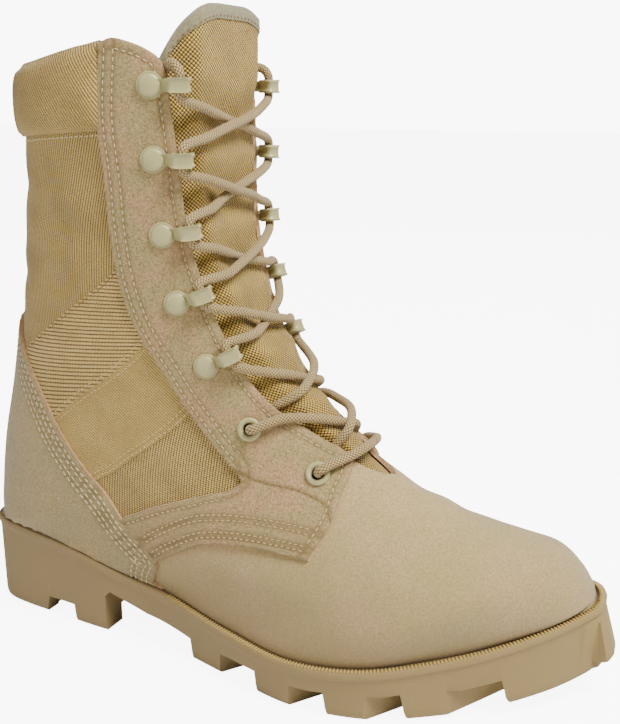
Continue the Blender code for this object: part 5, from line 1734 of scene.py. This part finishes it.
def sole():
    """The moulding as rings from its top to its tread, with the channels cut from below."""
    lowered = WELT_STEP + 0.6 * SOLE_DRAFT
    # Inset, height and share of the reveal; then the bumper's flare and where its crease stands.
    levels = (
        (0.0008, seat, 1.0),
        (0.0002, lambda x: seat(x) - GROOVE, 1.0),
        (0.0000, lambda x: seat(x) - GROOVE, 0.64),
        (0.0000, seat, 0.60),
        (0.0010, seat),
        (0.0003, lambda x: seat(x) - 0.0003),
        (0.0000, lambda x: seat(x) - 0.0011),
        (0.0000, lambda x: seat(x) - WELT_HEIGHT + 0.0005),
        (0.0004, lambda x: seat(x) - WELT_HEIGHT),
        (WELT_STEP, lambda x: seat(x) - WELT_HEIGHT - 0.0004),
        (WELT_STEP + 0.2 * SOLE_DRAFT, lambda x: seat(x) - WELT_HEIGHT - 0.0030, 0.0,
         0.22 * BUMPER_FLARE, 0.918),
        (lowered, lambda x: tread(x) + 0.0062, 0.0, 0.95 * BUMPER_FLARE, 0.955),
        (lowered, lambda x: tread(x) + 0.0046, 0.0, BUMPER_FLARE, 0.957),
        (lowered, lambda x: tread(x) + 0.0042, 0.0, 0.35 * BUMPER_FLARE, 0.960),
        (WELT_STEP + 0.9 * SOLE_DRAFT, lambda x: tread(x) + 0.0016, 0.0, 0.35 * BUMPER_FLARE, 0.960),
        (WELT_STEP + SOLE_DRAFT + 0.0003, lambda x: tread(x) + 0.0005),
        (WELT_STEP + SOLE_DRAFT + 0.0011, tread),
    )
    rings = [sole_ring(*level) for level in levels]
    count = len(rings[0])
    half = SIDE_POINTS
    faces = ring_faces(len(rings), count, False)
    partner = [0] + [count - i for i in range(1, half - 1)] + [half - 1]
    for base, flip in ((0, False), ((len(rings) - 1) * count, True)):
        for i in range(half - 1):
            face = []
            for v in (base + i, base + i + 1, base + partner[i + 1], base + partner[i]):
                if v not in face:
                    face.append(v)
            faces.append(face[::-1] if flip else face)
    made = mesh_piece("sole_rubber", np.vstack(rings), faces, (RUBBER,))
    tidy_solid(made)
    cutters = sole_cutters()
    for cut in cutters:
        step = made.modifiers.new(cut.name, "BOOLEAN")
        step.operation = "DIFFERENCE"
        step.object = cut
        step.solver = "EXACT"
    bevel = made.modifiers.new("bevel", "BEVEL")
    bevel.width = 0.0005
    bevel.segments = 2
    bevel.limit_method = "ANGLE"
    bevel.angle_limit = math.radians(35)
    shape = applied(made)
    shape.shade_smooth()
    shape.set_sharp_from_angle(angle=math.radians(38))
    for cut in cutters:
        bpy.data.objects.remove(cut, do_unlink=True)
    return dressed(made, "rubber_sole", "outsole")


rubber_sole = sole()
print("sole:", len(rubber_sole.data.polygons), "faces")

# %% [markdown]
# ## What repeats: rim ribs and stitches
# Geometry Nodes set one small shape again and again along a path. The ribs lie across the rim of
# the forefoot, and every stitch is a short bead of thread, sunk halfway into the leather.

# %% A Geometry Nodes tree that follows a path
def path_tree(name):
    """Tree that sets small rounded bars along a path; named inputs give their sizes."""
    tree = bpy.data.node_groups.new(name, "GeometryNodeTree")
    tree.interface.new_socket("Geometry", in_out="INPUT", socket_type="NodeSocketGeometry")
    for label, value in (("Pitch", 0.003), ("Length", 0.002), ("Width", 0.0005), ("Height", 0.0004)):
        socket = tree.interface.new_socket(label, in_out="INPUT", socket_type="NodeSocketFloat")
        socket.default_value = value
    tree.interface.new_socket("Finish", in_out="INPUT", socket_type="NodeSocketMaterial")
    tree.interface.new_socket("Geometry", in_out="OUTPUT", socket_type="NodeSocketGeometry")
    given = tree.nodes.new("NodeGroupInput").outputs
    out = tree.nodes.new("NodeGroupOutput").inputs

    def node(kind, settings=None, inputs=None):
        return filled(tree, tree.nodes.new(kind), settings, inputs)

    line = node("GeometryNodeMeshToCurve", None, {0: given["Geometry"]})
    points = node("GeometryNodeCurveToPoints", {"mode": "LENGTH"},
                  {"Curve": line.outputs[0], "Length": given["Pitch"]})
    along_path = node("FunctionNodeAlignRotationToVector", {"axis": "X"},
                      {"Vector": points.outputs["Tangent"]})
    upright = node("FunctionNodeAlignRotationToVector", {"axis": "Z", "pivot_axis": "X"},
                   {"Rotation": along_path.outputs[0], "Vector": (0.0, 0.0, 1.0)})
    bead = node("GeometryNodeMeshUVSphere", None, {"Segments": 6, "Rings": 5, "Radius": 0.5})
    scale = node("ShaderNodeCombineXYZ", None,
                 {"X": given["Length"], "Y": given["Width"], "Z": given["Height"]})
    turned = node("GeometryNodeTransform", None,
                  {"Geometry": bead.outputs[0], "Rotation": (0.0, math.pi / 2, 0.0)})
    placed = node("GeometryNodeInstanceOnPoints", None, {
        "Points": points.outputs[0], "Instance": turned.outputs[0], "Rotation": upright.outputs[0],
        "Scale": scale.outputs[0]})
    real = node("GeometryNodeRealizeInstances", None, {0: placed.outputs[0]})
    smooth = node("GeometryNodeSetShadeSmooth", None, {0: real.outputs[0]})
    painted = node("GeometryNodeSetMaterial", None, {0: smooth.outputs[0], "Material": given["Finish"]})
    tree.links.new(painted.outputs[0], out[0])
    return tree


PATH_TREE = path_tree("Bars along a path")


def along_paths(name, paths, finish, pitch, length, width, height):
    """Piece made of bars along paths in space."""
    vertices = np.vstack(paths)
    edges = []
    start = 0
    for path in paths:
        edges += [(start + i, start + i + 1) for i in range(len(path) - 1)]
        start += len(path)
    mesh = bpy.data.meshes.new(name)
    mesh.from_pydata(vertices.tolist(), edges, [])
    obj = bpy.data.objects.new(name, mesh)
    bpy.context.scene.collection.objects.link(obj)
    step = obj.modifiers.new("bars", "NODES")
    step.node_group = PATH_TREE
    values = {"Pitch": pitch, "Length": length, "Width": width, "Height": height, "Finish": finish}
    for item in PATH_TREE.interface.items_tree:
        if item.item_type == "SOCKET" and item.in_out == "INPUT" and item.name in values:
            step[item.identifier] = values[item.name]
    applied(obj)
    return obj


# %% Ribs across the rim
RIB_PITCH = 0.00155
RIB_LENGTH = 0.0011
RIB_WIDTH = 0.0036
RIB_HEIGHT = 0.0011


def rim_path():
    at = np.linspace(0.47, 1.0, 400)
    sides = []
    for side in (-1, 1):
        bare = outline(at, side)
        flat = outline(at, side, 0.40 * reveal(bare[:, 0]))
        sides.append(np.column_stack([flat, seat(flat[:, 0]) + 0.0001]))
    return np.vstack([sides[0], sides[1][:-1][::-1]])


# The ribs take the lighter rubber, painted light.
ribs = along_paths("rim_ribs", [rim_path()], RIM_RUBBER_PAINTED_LIGHT, RIB_PITCH, RIB_LENGTH, RIB_WIDTH, RIB_HEIGHT)
dressed(ribs, "rubber_sole")


# %% Stitches
THREAD_WIDTH = 0.00062
THREAD_HEIGHT = 0.00060
# Size of the dark beads painted as shade in the needle holes.
HOLE_SHADE_SIZE = (0.00075, 0.00065, 0.00030)


def thread(name, colour, dark):
    made, tree, shader = new_material(name, Roughness=0.6, Sheen_Weight=0.2)
    place = add(tree, "TexCoord").outputs["Object"]
    fine = noise(tree, place, 700.0)
    tree.links.new(mix(tree, fine, tone(dark), tone(colour)), shader.inputs["Base Color"])
    bumped(tree, shader, fine, 0.0001, 0.4)
    return made


CREAM = thread("cream thread", "e0d6b8", "c2b48f")
PALE_THREAD = thread("pale tan thread", "d0c5a6", "ab9e7e")
TAN_THREAD = thread("tan thread", "d0bf9b", "a8946f")
BROWN_THREAD = thread("brown thread", "8c7350", "5f4a30")


def mesh_lookup(obj):
    mesh = obj.data
    return BVHTree.FromPolygons([v.co for v in mesh.vertices], [tuple(p.vertices) for p in mesh.polygons])


def seam_path(line, side, offset, target, lift=0.00005):
    """Path on a piece's face, a distance in from a pattern line; offset is to the line's left."""
    rows = np.array(line, float)
    turn = -side * math.pi * rows[:, 1]
    point, normal = surface_frame(rows[:, 0], turn)
    run = np.gradient(point, axis=0)
    across = np.cross(normal, run)
    across /= np.linalg.norm(across, axis=1)[:, None]
    start = point + normal * 0.004 + across * offset * -side
    path = []
    for place, direction in zip(start, normal):
        hit = target.ray_cast(Vector(place), Vector(-direction), 0.012)[0]
        if hit is not None:
            path.append(np.array(hit + Vector(direction) * lift))
    return np.array(path)


def later(path, distance):
    """The path without its first stretch."""
    return path[distance_along(path) > distance]


def stitched(name, rows, finish, pitch=0.0031, length=0.0022, holes=True):
    """Rows of thread, and dark beads between the stitches as painted shade in the needle holes."""
    paths = [path for path in rows if len(path) > 8]
    made = along_paths(name, paths, finish, pitch, length, THREAD_WIDTH, THREAD_HEIGHT)
    dressed(made, "lace_cord")
    if holes:
        # Dark beads half a stitch along, as painted shade in the needle holes.
        between = [later(path, pitch / 2) for path in paths]
        dressed(along_paths(name + "_holes", between, NEEDLE_HOLE_SHADE, pitch, *HOLE_SHADE_SIZE), "lace_cord")


def seams(side, target, *lines):
    """Paths on one piece of the rows beside some pattern lines, each with its offsets."""
    return [seam_path(line, side, offset, target) for line, offsets in lines for offset in offsets]


def rightwards(rows):
    return [-offset for offset in rows]


# Painted shade: dark beads that stand for the shade inside the needle holes.
NEEDLE_HOLE_SHADE = thread("needle hole shade", "5a4630", "3f301f")
stitched("stitches_binding", [binding_seam()], BROWN_THREAD, 0.0030, 0.0016, False)
for side, word in SIDES:
    face, cup, cloth_face = (mesh_lookup(obj) for obj in (eyestays[side], counter, shaft))
    upper_strap, lower_strap = (mesh_lookup(straps[half, side]) for half in ("upper", "lower"))
    rows = seams(side, face, (dense(EYESTAY_REAR, 160)[3:-3], REAR_ROWS),
                 (front_edge[8:-6], rightwards(FRONT_ROWS)))
    stitched("stitches_eyestay_" + word, rows, PALE_THREAD)
    rows = seams(side, face, (lower_edge[2:-2], rightwards(LOWER_ROWS)),
                 (upper_edge[1:-6], rightwards(UPPER_ROWS)))
    stitched("stitches_band_" + word, rows, TAN_THREAD, 0.0028, 0.0018)
    rows = seams(side, face, (smooth_line(BAND_SEAM), (0.0,)))
    stitched("stitches_seam_" + word, rows, BROWN_THREAD, 0.0028, 0.0018)
    rows = seams(side, cup, (counter_front[2:], rightwards(COUNTER_ROWS)))
    stitched("stitches_counter_" + word, rows, CREAM, 0.0034, 0.0026)
    collar_line = [(float(curve(COLLAR, t)[1]) + 0.005, t) for t in np.linspace(0.47, 1.0, 60)]
    stitched("stitches_collar_" + word, seams(side, cloth_face, (collar_line, (0.0,))),
             CREAM, 0.0026, 0.0019, False)
    rows = seams(side, upper_strap, (smooth_line(STRAP_TOP), (-0.0012, 0.0012)))
    stitched("stitches_strap_top_" + word, rows, BROWN_THREAD, 0.0026, 0.0018, False)
    double_seam = (smooth_line(STRAP_SEAM), (-0.0020, 0.0020))
    foot_rows = (smooth_line(STRAP_FOOT), (-0.0012, 0.0012, 0.0036, -0.0036))
    rows = seams(side, upper_strap, double_seam) + seams(side, lower_strap, double_seam, foot_rows)
    stitched("stitches_strap_" + word, rows, TAN_THREAD, 0.0026, 0.0018, False)

# %% [markdown]
# ## Footbed
# The insole board is already right in the frame. It only needs the lining's felted finish.

# %% Insole finish
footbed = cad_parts["insole"]
footbed.data.materials.clear()
footbed.data.materials.append(LINING)
